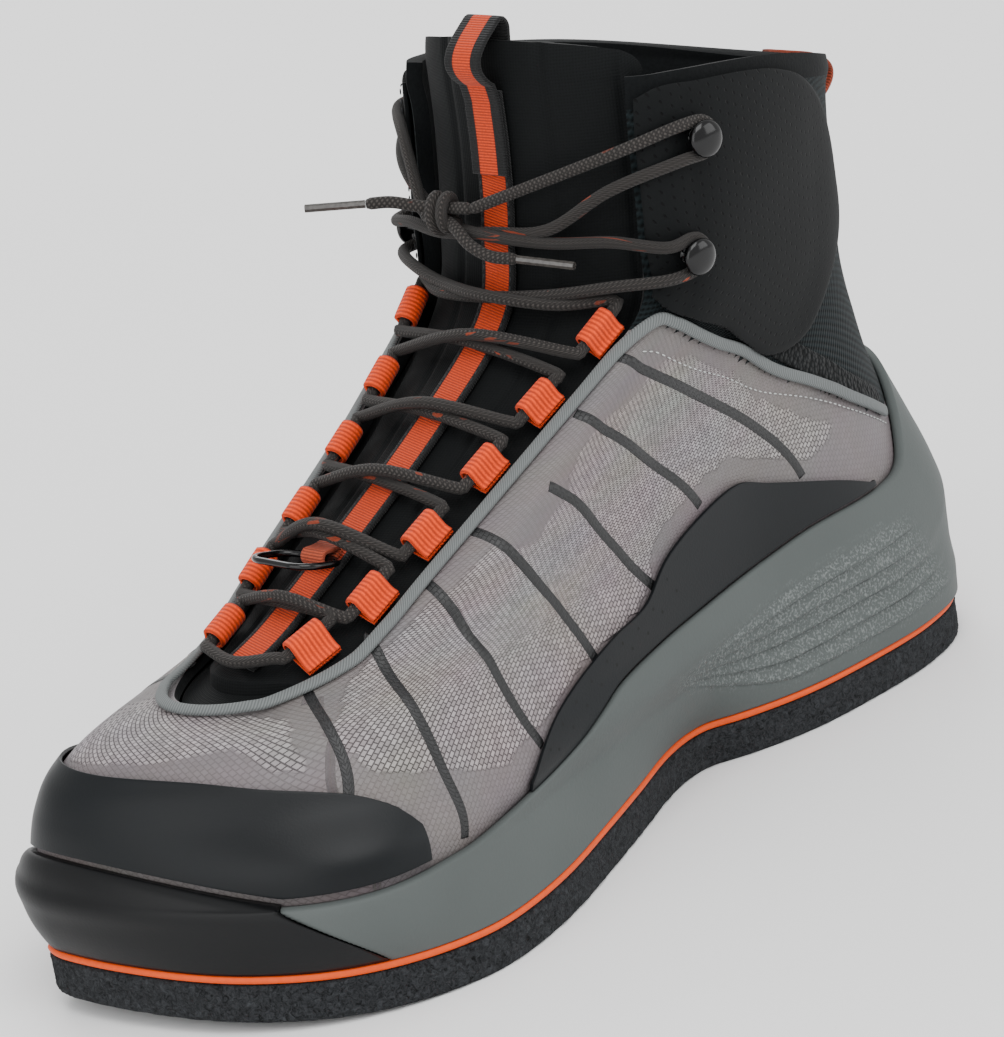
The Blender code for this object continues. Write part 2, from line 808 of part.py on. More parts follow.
def upper_place(i, j):
    """Angle and level of a corner of the upper's grid."""
    levels = FOOT_LEVELS + SHAFT_LEVELS
    level = levels[j]
    count = 2 * SIDE_CELLS + TOE_CELLS
    side = -1 if i > count // 2 else 1
    k = min(i, count - i)
    edge = throat_edge(max(level, VAMP_LEVEL), side)
    if k <= SIDE_CELLS:
        phi = edge * k / SIDE_CELLS
    else:
        u = (k - SIDE_CELLS) / (TOE_CELLS / 2)
        phi = edge + (math.pi - edge) * u
        level -= VAMP_DIP * math.sqrt(1 - (1 - u) ** 4) * (level / VAMP_LEVEL) ** 3
    return side * phi, level


def build_upper():
    columns = 2 * SIDE_CELLS + TOE_CELLS
    rows = len(FOOT_LEVELS) + len(SHAFT_LEVELS)
    places = [[upper_place(i, j) for j in range(rows)] for i in range(columns)]

    def seat(phi, level):
        return -SEAT_GAP if level < rim_level(phi) - 0.01 else 0.0

    def outer(i, j):
        point = on_last(*places[i][j], seat(*places[i][j]))
        if j == 0:
            point.z += 2 * GAP
        return point

    def inner(i, j):
        phi, level = places[i][j]
        point = on_last(phi, level, seat(phi, level) - wall(level))
        if j == 0:
            point.z = outer(i, j).z
        return point

    def kept(i, j):
        side = i < SIDE_CELLS or i >= columns - SIDE_CELLS
        return side or j < len(FOOT_LEVELS) - 1

    return finish("upper", sheet(columns, rows, outer, inner, kept, True), TEXTILE, 60)


def overlay(name, table, columns, rows, edges, colour):
    """Sheet just outside the last. edges(place, values) gives angle, lower and upper level."""
    places = [row[0] for row in table]
    columns_read = []
    for k in range(columns):
        place = places[0] + (places[-1] - places[0]) * k / (columns - 1)
        values = [smooth_read(places, [row[n] for row in table], place) for n in range(1, len(table[0]))]
        columns_read.append((place, values))

    def face(lift):
        def corner(i, j):
            share = j / (rows - 1)
            phi, level = edges(*columns_read[i], share)
            return on_last(phi, level, lift)
        return corner

    low = face(OVERLAY_GAP)
    high = face(OVERLAY_GAP + OVERLAY_THICKNESS)
    return finish(name, sheet(columns, rows, high, low), colour)


def build_ankle_panel(side):
    def edges(part, levels, share):
        level = levels[0] + (levels[1] - levels[0]) * share
        return side * part * throat_edge(level, side), level

    name = "ankle_panel_left" if side > 0 else "ankle_panel_right"
    return overlay(name, ANKLE_PANEL, 15, 7, edges, SOFTSHELL)


def build_side_panel(side):
    def edges(degrees, levels, share):
        phi = side * math.radians(degrees)
        low = rim_level(phi, 4 * GAP)
        return phi, low + max(levels[0] - low, 0.012) * share

    name = "side_panel_left" if side > 0 else "side_panel_right"
    return overlay(name, SIDE_PANEL, 15, 6, edges, FILM)


def build_toe_cap():
    def edges(degrees, levels, share):
        phi = math.pi - math.radians(degrees)
        above = lip_height(phi) if abs(wrapped(phi)) > seam_angle(1.0) else 0.5 * MM
        low = rim_level(phi, above + 6 * GAP)
        return phi, low + (levels[0] - low) * share

    return overlay("toe_cap", TOE_CAP, 21, 7, edges, FILM)


def binding_path():
    """Angles and levels along the edge of the quarter and the throat, outer heel to inner heel."""
    inset = 0.55 * BINDING_WIDTH
    side = []
    for degrees, level in reversed(QUARTER_TOP):
        side.append((math.radians(degrees), level))
    for level in (.70, .66, .62, .58, .54, .50, .470):
        width = 0.35 * BALL_WIDTH
        side.append((throat_edge(level) - inset / width, level))
    vamp = []
    for k in range(1, 6):
        u = k / 6
        edge = throat_edge(VAMP_LEVEL)
        level = VAMP_LEVEL - VAMP_DIP * math.sqrt(1 - (1 - u) ** 4) - 0.008
        vamp.append((edge + (math.pi - edge) * u, level))
    half = side + vamp
    tip = (math.pi, VAMP_LEVEL - VAMP_DIP - 0.008)
    return half + [tip] + [(-phi, level) for phi, level in reversed(half)]


def build_binding():
    """Folded tape round the quarter's top and the throat."""
    places = binding_path()
    path = [on_last(phi, level) for phi, level in places]
    ups = [last_normal(wrapped(phi), level) for phi, level in places]
    made = ribbon(path, ups, BINDING_WIDTH, 3 * GAP, 3 * GAP + BINDING_THICKNESS)
    return finish("quarter_binding", made, BINDING)


# The tongue with its stripe and the pull loops

TONGUE_COLUMNS = 13
TONGUE_LEVELS = (.435, .47, .51, .55, .59, .63, .67, .71, .76, .82, .88, .94, 1.0)
TONGUE_TUCK = 0.12


def tongue_lift(share, level):
    """Depth of the tongue's face under the last: under the wall at its edges, full at its middle."""
    under = wall(level) + TONGUE_GAP
    edge = math.pi - throat_edge(level)
    free = 0.93 * edge / (edge + TONGUE_TUCK)
    if level < 0.46 or abs(share) > free:
        return -under
    return -under + (under - TONGUE_SINK) * math.cos(math.pi / 2 * abs(share) / free) ** 0.6


def build_tongue():
    """Padded tongue under the throat's edges, rising above the collar."""
    rows = len(TONGUE_LEVELS) + 1

    def face(deeper):
        def corner(i, j):
            share = 2 * i / (TONGUE_COLUMNS - 1) - 1
            level = TONGUE_LEVELS[min(j, rows - 2)]
            side = 1 if share >= 0 else -1
            edge = math.pi - throat_edge(level, side) + TONGUE_TUCK
            phi = math.pi - share * edge
            point = on_last(phi, min(level, .995), tongue_lift(share, level) - deeper)
            if j == rows - 1:
                point.z += TONGUE_RISE * math.sqrt(max(1 - share * share, 0.0)) + 1 * MM
            return point
        return corner

    return finish("tongue", sheet(TONGUE_COLUMNS, rows, face(0.0), face(TONGUE_THICKNESS)), SOFTSHELL, 60)


def build_stripe():
    """Reinforcing tape sewn up the tongue's middle."""
    levels = [.475 + k * (.955 - .475) / 26 for k in range(27)]
    path = [on_last(math.pi, level, GAP - TONGUE_SINK) for level in levels]
    ups = [last_normal(math.pi, level) for level in levels]
    made = ribbon(path, ups, STRIPE_WIDTH, 3 * GAP, 3 * GAP + STRIPE_THICKNESS)
    return finish("tongue_stripe", made, RUST_WEB)


def hanging_loop(name, low, high, out, depth, width, colour):
    """Folded webbing sewn at low and high, standing out between them."""
    run = high - low
    side = run.cross(out).normalized()
    path = []
    for k in range(9):
        u = k / 8
        path.append(low + run * u + out * depth * math.sin(math.pi * u) ** 0.8)
    ups = [side.cross(path[min(k + 1, 8)] - path[max(k - 1, 0)]) for k in range(9)]
    ups = [up if up.dot(out) > 0 else -up for up in ups]
    return finish(name, ribbon(path, ups, width, 0.0, WEB_THICKNESS), colour)


def build_heel_loop():
    """Pull loop at the back of the collar."""
    low = on_last(0.0, 0.87, GAP)
    high = on_last(0.0, 0.99, GAP)
    return hanging_loop("heel_loop", low, high, Vector((0, 1, 0)), HEEL_LOOP_STAND, HEEL_LOOP_WIDTH, RUST_WEB)


def build_tongue_loop():
    """Pull loop folded over the tongue's upper edge."""
    foot = on_front(0.0, 0.985 * COLLAR_HEIGHT, 2 * GAP - TONGUE_SINK)
    top = foot + Vector((0, 0.3 * TONGUE_LOOP_DEPTH, TONGUE_LOOP_HEIGHT))
    front = []
    for k in range(7):
        u = k / 6
        front.append(foot.lerp(top, u) + Vector((0, -TONGUE_LOOP_DEPTH * math.sin(math.pi * u), 0)))
    back = [foot.lerp(top, u) + Vector((0, 2.4 * MM + 0.5 * MM, 0)) for u in (0.92, 0.75)]
    path = front + back
    ups = []
    for k in range(len(path)):
        along = path[min(k + 1, len(path) - 1)] - path[max(k - 1, 0)]
        ups.append(along.cross(Vector((1, 0, 0))) * -1)
    made = ribbon(path, ups, TONGUE_LOOP_WIDTH, 0.0, WEB_THICKNESS)
    return finish("tongue_loop", made, BLACK_WEB)


# Lacing: webbing loops, hooks, ring and lace

def loop_frame(n, side):
    """Centre, lace direction, upward and outward direction of a lace loop, beside the throat's edge."""
    level, reach, tail = LACE_LOOPS[n]
    edge = on_last(side * throat_edge(level, side), level)
    up = last_normal(side * throat_edge(level, side), level)
    ahead = on_last(side * throat_edge(level + 0.02, side), level + 0.02)
    behind = on_last(side * throat_edge(level - 0.02, side), level - 0.02)
    along = (ahead - behind).normalized()
    along = (along - up * along.dot(up)).normalized()
    outward = along.cross(up)
    outward = outward if outward.x * side > 0 else -outward
    return edge - outward * reach * LACE + up * LOOP_RISE, along, up, outward


def webbing_fold(name, frame, length, bore, reach, drop, colour):
    """Webbing folded round a bore, its two layers running out by reach, to a height drop below."""
    centre, along, up, outward = frame
    hole = []
    skin = []
    sides = 10
    for k in range(sides + 1):
        turn = math.radians(60) + k / sides * math.radians(240)
        spoke = outward * math.cos(turn) + up * math.sin(turn)
        hole.append(centre + spoke * bore)
        skin.append(centre + spoke * (bore + LOOP_WALL))
    tail = [centre + outward * reach - up * (drop - height) for height in (0.0, 2 * LOOP_WALL)]
    outline = skin + tail
    meet = min(2 * bore, 0.7 * reach)
    hole.append(centre + outward * meet - up * 0.35 * (drop - LOOP_WALL))
    made = bmesh.new()
    ends = []
    for end in (-0.5, 0.5):
        shift = along * length * end
        ends.append([[made.verts.new(point + shift) for point in ring] for ring in (outline, hole)])
    for a, b in zip(*ends):
        for k in range(len(a)):
            ahead = (k + 1) % len(a)
            made.faces.new([a[k], a[ahead], b[ahead], b[k]])
    for out_ring, in_ring in ends:
        for k in range(sides):
            made.faces.new([out_ring[k], out_ring[k + 1], in_ring[k + 1], in_ring[k]])
        low, high = out_ring[sides + 1:]
        apex = in_ring[sides + 1]
        made.faces.new([out_ring[sides], low, apex, in_ring[sides]])
        made.faces.new([low, high, apex])
        made.faces.new([high, out_ring[0], in_ring[0], apex])
    return finish(name, made, colour)


def build_lace_loop(n, side):
    """Webbing folded round the lace, sewn to the quarter's edge."""
    name = "lace_loop_%s_%d" % ("left" if side > 0 else "right", n + 1)
    reach = LACE_LOOPS[n][2] * LACE
    drop = LOOP_RISE + LOOP_WALL
    return webbing_fold(name, loop_frame(n, side), LOOP_LENGTH, LACE_BORE, reach, drop, ORANGE_WEB)


def hook_frame(n, side):
    """Foot of a hook on the ankle panel and the direction it stands in."""
    ahead, height = HOOKS[n]
    wanted = (HEEL_REACH - ahead * SOLE_LENGTH, height * COLLAR_HEIGHT)
    phi, level = locate((1, 2), wanted, side * math.radians(125), 0.85)
    foot = on_last(phi, level, OVERLAY_GAP + OVERLAY_THICKNESS + GAP)
    return foot, last_normal(wrapped(phi), level)


def build_hook(n, side):
    """Turned hook: foot disc, stem and domed head."""
    foot, axis = hook_frame(n, side)
    neck = HOOK_BASE_THICKNESS + LACE + 3 * LACE_GAP
    profile = (
        (0.0, 0.0),
        (HOOK_BASE_RADIUS, 0.0),
        (HOOK_BASE_RADIUS, HOOK_BASE_THICKNESS),
        (HOOK_STEM_RADIUS, HOOK_BASE_THICKNESS),
        (HOOK_STEM_RADIUS, neck),
        (HOOK_HEAD_RADIUS, neck + 0.3 * HOOK_HEAD_HEIGHT),
        (0.85 * HOOK_HEAD_RADIUS, neck + 0.72 * HOOK_HEAD_HEIGHT),
        (0.5 * HOOK_HEAD_RADIUS, neck + 0.95 * HOOK_HEAD_HEIGHT),
        (0.0, neck + HOOK_HEAD_HEIGHT),
    )
    made = bmesh.new()
    line = [made.verts.new((radius, 0, height)) for radius, height in profile]
    edges = [made.edges.new(pair) for pair in zip(line, line[1:])]
    bmesh.ops.spin(made, geom=line + edges, cent=(0, 0, 0), axis=(0, 0, 1),
                   angle=2 * math.pi, steps=14, use_merge=True)
    bmesh.ops.remove_doubles(made, verts=made.verts, dist=0.01 * MM)
    turn = Vector((0, 0, 1)).rotation_difference(axis)
    for vert in made.verts:
        vert.co = turn @ vert.co + foot
    name = "hook_%s_%s" % (("upper", "lower")[n], "left" if side > 0 else "right")
    return finish(name, made, GLOSS, 30)


def loop_end(n, side, way):
    """Point where the lace leaves a loop, its upper end for way 1, and the direction it leaves in."""
    centre, along, up, outward = loop_frame(n, side)
    return centre + along * way * (LOOP_LENGTH / 2 + LACE_LEAD), along * way, outward


def strand(n, side, rise):
    """Lace from the upper end of loop n on one side to the lower end of the next loop up, across."""
    start, leave, outward = loop_end(n, side, 1)
    stop, arrive, inward = loop_end(n - 1, -side, -1)
    ease = 0.8 * LACE
    first = start + (leave - outward).normalized() * ease
    last = stop + (arrive - inward).normalized() * ease
    middle = (first + last) / 2
    over_tab = TAB_CLEARING if n == TAB_ROW else 0.0
    middle = on_top(middle.x, middle.y, (1.0 + rise + over_tab) * LACE)
    return [start, first, middle, last, stop]


def build_crossing(n):
    """The two strands between a row of loops and the next row up, joined where they cross."""
    over = cord("lace_crossing_%d" % n, strand(n, -1, 0.45), CORD)
    under = cord("lace_tool_%d" % n, strand(n, 1, 0.1), CORD)
    bodies = [as_mesh(made) for made in (over, under)]
    join(*bodies)


def build_bar():
    """Lowest run of the lace, across the vamp between the last two loops."""
    low = len(LACE_LOOPS) - 1
    near, leave, outward = loop_end(low, 1, -1)
    far, arrive, inward = loop_end(low, -1, -1)
    ease = 0.8 * LACE
    first = near + (leave - outward).normalized() * ease
    last = far + (arrive - inward).normalized() * ease
    middle = (first + last) / 2
    middle = on_top(middle.x, middle.y - 0.5 * LACE, 1.0 * LACE)
    as_mesh(cord("lace_bar", [near, first, middle, last, far], CORD))


def hook_turn(n, side):
    """Points round the rear of a hook's stem, from below it to above it."""
    foot, axis = hook_frame(n, side)
    centre = foot + axis * (HOOK_BASE_THICKNESS + 1.5 * LACE_GAP + LACE / 2)
    up = (Vector((0, 0, 1)) - axis * axis.z).normalized()
    rear = axis.cross(up)
    rear = rear if rear.y > 0 else -rear
    radius = HOOK_STEM_RADIUS + 1.5 * LACE_GAP + LACE / 2
    points = []
    for degrees in (-90, -50, -15, 15, 50, 90):
        turn = math.radians(degrees)
        points.append(centre + (rear * math.cos(turn) + up * math.sin(turn)) * radius)
    clear = rear * (HOOK_BASE_RADIUS + LACE)
    return [points[0] - clear] + points + [points[-1] - clear]


def lace_to_hooks(side):
    """Lace from the loop at the ankle on the other side round the lower and the upper hook."""
    start, leave, outward = loop_end(0, -side, 1)
    points = [start, start + (leave - outward).normalized() * 0.8 * LACE]
    hooks = [(1, side), (0, -side)]
    for x, height, lift in LACE_TO_HOOKS:
        if lift:
            points.append(on_front(side * x * BALL_WIDTH, height * COLLAR_HEIGHT, lift * LACE))
        else:
            points += hook_turn(*hooks.pop(0))
    return points


def knot_frame():
    x, height, lift = KNOT_PLACE
    return on_front(x * BALL_WIDTH, height * COLLAR_HEIGHT, lift * LACE)


def as_mesh(made):
    """Mesh object in place of a cord, so that a Boolean can join it."""
    name = made.name
    read = bpy.data.meshes.new_from_object(made.evaluated_get(bpy.context.evaluated_depsgraph_get()))
    bpy.data.objects.remove(made, do_unlink=True)
    built = bmesh.new()
    built.from_mesh(read)
    return finish(name, built, CORD)


def build_hook_lace():
    """Both runs round the hooks, joined where they cross, ending beside the knot."""
    knot = knot_frame()
    runs = []
    for side, name in ((1, "lace_hooks"), (-1, "lace_hooks_tool")):
        beside = knot + Vector((-side * (KNOT_LENGTH / 2 + 3 * LACE_GAP), 0, 0))
        runs.append(as_mesh(cord(name, lace_to_hooks(side) + [beside], CORD, LACE, HOOK_LACE_STEP, 1)))
    join(*runs)


def build_knot():
    """Outer shape of the overhand knot."""
    made = bmesh.new()
    bmesh.ops.create_uvsphere(made, u_segments=12, v_segments=8, radius=0.5)
    middle = knot_frame()
    for vert in made.verts:
        co = vert.co
        vert.co = middle + Vector((co.z * KNOT_LENGTH, co.x * KNOT_DEPTH, co.y * KNOT_HEIGHT))
    return finish("lace_knot", made, CORD, 80)


# Free ends of the lace from the knot. Columns: x and height from the knot's middle, distance ahead,
# all in lace diameters.
RIGHT_END = (
    (2.1, -1.0, 0.85),
    (3.6, -2.0, 1.2),
    (5.4, -2.9, 0.9),
    (7.6, -3.2, 0.2),
)
LEFT_END = (
    (-1.9, 0.8, 0.95),
    (-3.6, 1.4, 2.2),
    (-5.2, 1.5, 3.4),
)
END_NODES = (("left", RIGHT_END), ("right", LEFT_END))


def build_lace_end(name, rows):
    """Free end of the lace, with its aglet."""
    knot = knot_frame()
    points = [knot + Vector((x, -ahead, height)) * LACE for x, height, ahead in rows]
    cord("lace_end_" + name, points, CORD)
    way = (points[-1] - points[-2]).normalized()
    start = points[-1] + way * GAP
    tube = [start + way * AGLET_LENGTH * share for share in (0, 0.5, 1)]
    cord("aglet_" + name, tube, CLEAR, AGLET_WIDTH)


def ring_place():
    """Axis of the gaiter ring, on the stripe ahead of the ankle."""
    level = RING_LEVEL
    up = last_normal(math.pi, level)
    top = 6 * GAP + STRIPE_THICKNESS - TONGUE_SINK
    middle = on_last(math.pi, level, top + LOOP_WALL + TURN_GAP + RING_WIRE / 2)
    ahead = last_point(math.pi, level + 0.02) - last_point(math.pi, level - 0.02)
    return middle, up, ahead.normalized()


RING_LEVEL = 0.552


def build_ring():
    """Rounded ring that folds on the tab's bar."""
    pivot, up, ahead = ring_place()
    half = RING_WIDTH / 2 - RING_CORNER
    deep = RING_DEPTH - 2 * RING_CORNER
    middles = ((half, 0), (half, -deep), (-half, -deep), (-half, 0))
    flat = []
    for k, (x, y) in enumerate(middles):
        for step in range(4):
            turn = math.radians(90 - 90 * k - 30 * step)
            flat.append(Vector((x + RING_CORNER * math.cos(turn), y + RING_CORNER * (math.sin(turn) - 1), 0)))
    tilt = math.radians(RING_TILT)
    made = bmesh.new()
    rings = []
    count = len(flat)
    for k, point in enumerate(flat):
        along = (flat[(k + 1) % count] - flat[k - 1]).normalized()
        side = along.cross(Vector((0, 0, 1)))
        ring = []
        for spoke in range(8):
            turn = math.pi / 4 * spoke
            ring.append(point + (side * math.cos(turn) + Vector((0, 0, 1)) * math.sin(turn)) * RING_WIRE / 2)
        rings.append([made.verts.new((v.x, v.y * math.cos(tilt) + v.z * math.sin(tilt),
                                      -v.y * math.sin(tilt) + v.z * math.cos(tilt))) for v in ring])
    for k in range(count):
        a, b = rings[k], rings[(k + 1) % count]
        for spoke in range(8):
            ahead_spoke = (spoke + 1) % 8
            made.faces.new([a[spoke], a[ahead_spoke], b[ahead_spoke], b[spoke]])
    ring = finish("gaiter_ring", made, GLOSS, 60)
    ring.location = pivot
    return ring


def build_ring_tab():
    """Webbing folded round the ring's bar and sewn on the stripe."""
    pivot, up, ahead = ring_place()
    frame = (pivot, Vector((1, 0, 0)), up, ahead)
    bore = RING_WIRE / 2 + TURN_GAP
    return webbing_fold("ring_tab", frame, RING_TAB_WIDTH, bore, RING_TAB_TAIL, bore + LOOP_WALL, RUST_WEB)


LACE_BORE = LACE / 2 + LACE_GAP


def build_all():
    build_outsole()
    build_line()
    midsole = build_midsole()
    for side in (1, -1):
        join(midsole, build_grooves(side), "DIFFERENCE")
    build_bumper()
    build_insole()
    build_upper()
    build_toe_cap()
    for side in (1, -1):
        build_side_panel(side)
        build_ankle_panel(side)
    build_binding()
    build_tongue()
    build_stripe()
    build_heel_loop()
    build_tongue_loop()
    for side in (1, -1):
        for n in range(len(LACE_LOOPS)):
            build_lace_loop(n, side)
        for n in range(len(HOOKS)):
            build_hook(n, side)
    build_ring()
    build_ring_tab()
    build_bar()
    for n in range(1, len(LACE_LOOPS)):
        build_crossing(n)
    build_hook_lace()
    build_knot()
    for name, rows in END_NODES:
        build_lace_end(name, rows)


build_all()
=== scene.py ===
import math
from functools import lru_cache
from math import cos, pi, radians, sin

import bmesh
import bpy
import numpy as np
from mathutils import Matrix, Vector
from mathutils.bvhtree import BVHTree
from mathutils.kdtree import KDTree


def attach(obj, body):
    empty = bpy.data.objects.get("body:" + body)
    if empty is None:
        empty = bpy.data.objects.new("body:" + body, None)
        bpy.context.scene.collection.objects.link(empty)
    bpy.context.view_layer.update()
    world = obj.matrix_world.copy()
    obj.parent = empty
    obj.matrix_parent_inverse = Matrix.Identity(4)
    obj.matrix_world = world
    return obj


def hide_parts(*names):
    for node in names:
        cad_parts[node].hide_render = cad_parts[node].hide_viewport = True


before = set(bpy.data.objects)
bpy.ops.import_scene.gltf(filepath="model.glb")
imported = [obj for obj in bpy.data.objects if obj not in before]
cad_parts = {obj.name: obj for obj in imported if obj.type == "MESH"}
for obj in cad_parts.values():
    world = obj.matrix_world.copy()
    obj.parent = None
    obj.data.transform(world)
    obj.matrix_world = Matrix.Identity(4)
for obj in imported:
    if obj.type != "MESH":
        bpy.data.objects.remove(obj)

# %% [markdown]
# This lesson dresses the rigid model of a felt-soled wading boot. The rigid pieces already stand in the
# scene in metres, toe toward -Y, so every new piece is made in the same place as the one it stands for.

MM = 0.001
UP = Vector((0, 0, 1))
OUTER = Vector((1, 0, 0))
to_scene = bpy.context.collection.objects.link
SIDES = ((1, "left"), (-1, "right"))  # left is the boot's outer side
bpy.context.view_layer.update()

# %% [markdown]
# The photograph looks down on the boot's outer side from the front, with the camera rolled. A long lens
# from more than a metre away keeps the shape flat. Its place was worked out beforehand by fitting the
# boot's edges, and is written here as an angle round the boot, a height, a roll and a distance.

# %% Camera
CAMERA_TURN = radians(46.3)
CAMERA_HEIGHT = radians(19.4)
CAMERA_ROLL = radians(-9.7)
CAMERA_DISTANCE = 1192 * MM
LOOK_AT = Vector((0, -115, 85)) * MM
CAMERA_SHIFT = (-5.1 * MM, -2.5 * MM)
FOCAL_PIXELS = 4302.8
IMAGE_HEIGHT = 1037

back = Vector((sin(CAMERA_TURN) * cos(CAMERA_HEIGHT), -cos(CAMERA_TURN) * cos(CAMERA_HEIGHT),
               sin(CAMERA_HEIGHT)))
level_right = Vector((cos(CAMERA_TURN), sin(CAMERA_TURN), 0))
level_up = back.cross(level_right)
right = level_right * cos(CAMERA_ROLL) + level_up * sin(CAMERA_ROLL)
top = level_up * cos(CAMERA_ROLL) - level_right * sin(CAMERA_ROLL)
lens = bpy.data.cameras.new("camera")
lens.lens = FOCAL_PIXELS / IMAGE_HEIGHT * lens.sensor_width
lens.clip_start = 0.05
lens.clip_end = 20
camera = bpy.data.objects.new("camera", lens)
place = LOOK_AT - right * CAMERA_SHIFT[0] - top * CAMERA_SHIFT[1] + back * CAMERA_DISTANCE
camera.matrix_world = Matrix([[right[k], top[k], back[k], place[k]] for k in range(3)] + [[0, 0, 0, 1]])
to_scene(camera)
bpy.context.scene.camera = camera
print("camera at", [round(c, 3) for c in place], "lens %.1f mm" % lens.lens)

# %% [markdown]
# Wading boots are laced over a last, the foot-shaped block that a shoemaker pulls the upper over. Here the
# last is a stack of rings from the feather edge, where the sole starts, to the collar. Every layer of the
# upper is then a patch of the same surface at its own small height, so nothing cuts into its neighbour.

# %% Sizes of the last and the sole, as in the rigid model
# Driving sizes of the last and the sole
SOLE_LENGTH = 322 * MM
BALL_WIDTH = 120 * MM
COLLAR_HEIGHT = 206 * MM
FEATHER_HEIGHT = 30 * MM
COUNTER_HEIGHT = 90 * MM
HEEL_REACH = 54.5 * MM
TOE_SPRING = 5 * MM
TOE_SWING = 25 * MM
COLLAR_ARCH = 5 * MM

# Layers of the bottom
FELT_THICKNESS = 11 * MM
FELT_EDGE = 1.2 * MM
LINE_THICKNESS = 2.2 * MM
INSOLE_THICKNESS = 4 * MM
MIDSOLE_BULGE = 1.0 * MM
MIDSOLE_FLARE = 2.2
MIDSOLE_WALL = 3.0 * MM
TOE_WALL = 4.5 * MM
BUMPER_WALL = 2.6 * MM
BUMPER_LIP = 10 * MM
LIP_SWELL = 0.9 * MM
BLADE_COUNT = 5

# Walls and trims of the upper
FOOT_WALL = 2.6 * MM
ANKLE_WALL = 4.5 * MM
TONGUE_THICKNESS = 4.5 * MM
TONGUE_RISE = 10 * MM
TONGUE_SINK = 0.7 * MM
OVERLAY_THICKNESS = 1.0 * MM
BINDING_WIDTH = 3.2 * MM
STRIPE_WIDTH = 12 * MM
STRIPE_THICKNESS = 0.9 * MM
WEB_THICKNESS = 1.3 * MM
HEEL_LOOP_WIDTH = 16 * MM
HEEL_LOOP_STAND = 6 * MM
TONGUE_LOOP_WIDTH = 13 * MM
TONGUE_LOOP_HEIGHT = 24 * MM
TONGUE_LOOP_DEPTH = 8 * MM

# Lacing hardware
LACE = 3.4 * MM
LOOP_LENGTH = 11 * MM
LOOP_WALL = 1.2 * MM
LOOP_RISE = 2.6 * MM
HOOK_BASE_RADIUS = 5.5 * MM
HOOK_BASE_THICKNESS = 0.9 * MM
HOOK_STEM_RADIUS = 2.2 * MM
HOOK_HEAD_RADIUS = 5.2 * MM
HOOK_HEAD_HEIGHT = 2.8 * MM
RING_WIRE = 1.9 * MM
RING_WIDTH = 22 * MM
RING_DEPTH = 16 * MM
RING_CORNER = 6 * MM
RING_TILT = 15
RING_TAB_WIDTH = 8.5 * MM
RING_TAB_TAIL = 5.5 * MM
TAB_ROW = 4
TAB_CLEARING = 1.3

# Clearances
GAP = 0.3 * MM
OVERLAY_GAP = 0.9 * MM
TONGUE_GAP = 1.3 * MM
OVERLAY_TOP = OVERLAY_GAP + OVERLAY_THICKNESS
SEAT_GAP = 0.7 * MM
LACE_GAP = 0.5 * MM
LACE_LEAD = 2.0 * MM
TURN_GAP = 0.35 * MM

# Rings of the last from feather edge to collar.
# Columns: height of the heel end and of the front end, as shares of the way from feather to collar;
# heel end and front end ahead of the sole's back, as shares of the sole's length;
# half widths on the outer and the inner side at STATIONS, as shares of the ball width.
STATIONS = (0.12, 0.35, 0.60, 0.80, 0.92)
RINGS = (
    (0.000, 0.017, 0.020, 0.990, (.312, .322, .392, .500, .467), (.295, .290, .325, .425, .333)),
    (0.070, 0.075, 0.012, 0.986, (.333, .362, .433, .492, .446), (.317, .321, .350, .421, .325)),
    (0.140, 0.130, 0.014, 0.980, (.333, .362, .421, .446, .350), (.317, .321, .342, .392, .300)),
    (0.215, 0.180, 0.022, 0.966, (.321, .354, .408, .412, .300), (.304, .321, .333, .371, .275)),
    (0.285, 0.225, 0.031, 0.933, (.304, .350, .392, .383, .258), (.287, .321, .329, .350, .242)),
    (0.355, 0.270, 0.042, 0.840, (.287, .346, .379, .358, .242), (.271, .321, .329, .325, .233)),
    (0.430, 0.365, 0.053, 0.722, (.267, .342, .362, .375, .308), (.258, .325, .342, .350, .292)),
    (0.520, 0.500, 0.064, 0.576, (.246, .333, .371, .367, .325), (.242, .325, .362, .358, .317)),
    (0.610, 0.625, 0.067, 0.474, (.233, .329, .379, .383, .317), (.233, .329, .379, .383, .317)),
    (0.700, 0.755, 0.065, 0.449, (.233, .333, .392, .400, .333), (.233, .333, .392, .400, .333)),
    (0.775, 0.880, 0.061, 0.439, (.233, .342, .400, .400, .333), (.233, .342, .400, .400, .333)),
    (0.840, 1.000, 0.057, 0.436, (.242, .350, .404, .396, .325), (.242, .350, .404, .396, .325)),
)

# Outline of the sole. Columns: share of the sole's length from the back,
# half width on the outer and on the inner side, as shares of the ball width.
SOLE_OUTLINE = (
    (0.05, .296, .296), (0.12, .378, .372), (0.20, .389, .376), (0.30, .364, .334),
    (0.36, .315, .286), (0.40, .269, .258), (0.45, .284, .263), (0.52, .355, .298),
    (0.60, .435, .359), (0.68, .508, .411), (0.75, .543, .448), (0.82, .539, .442),
    (0.88, .518, .381), (0.94, .446, .262), (0.98, .299, .125),
)

# Rim of the midsole. Columns: share of the sole's length from the back,
# height as a share of the way from feather to counter.
RIM = (
    (0.00, .98), (0.035, .93), (0.065, .80), (0.09, .64), (0.115, .52),
    (0.16, .49), (0.26, .49), (0.33, .45), (0.42, .40), (0.48, .37),
    (0.55, .315), (0.585, .25), (0.62, .185), (0.67, .125), (0.74, .09),
    (0.82, .075), (1.00, .067),
)

# Edge of the throat. Columns: level on the last, half width as a share of the ball width.
VAMP_LEVEL = 0.4545
VAMP_DIP = 0.022
THROAT = (
    (0.44, .190), (0.50, .222), (0.55, .240), (0.60, .262), (0.65, .290),
    (0.70, .325), (0.74, .348), (0.82, .345), (0.92, .338), (1.00, .342),
)

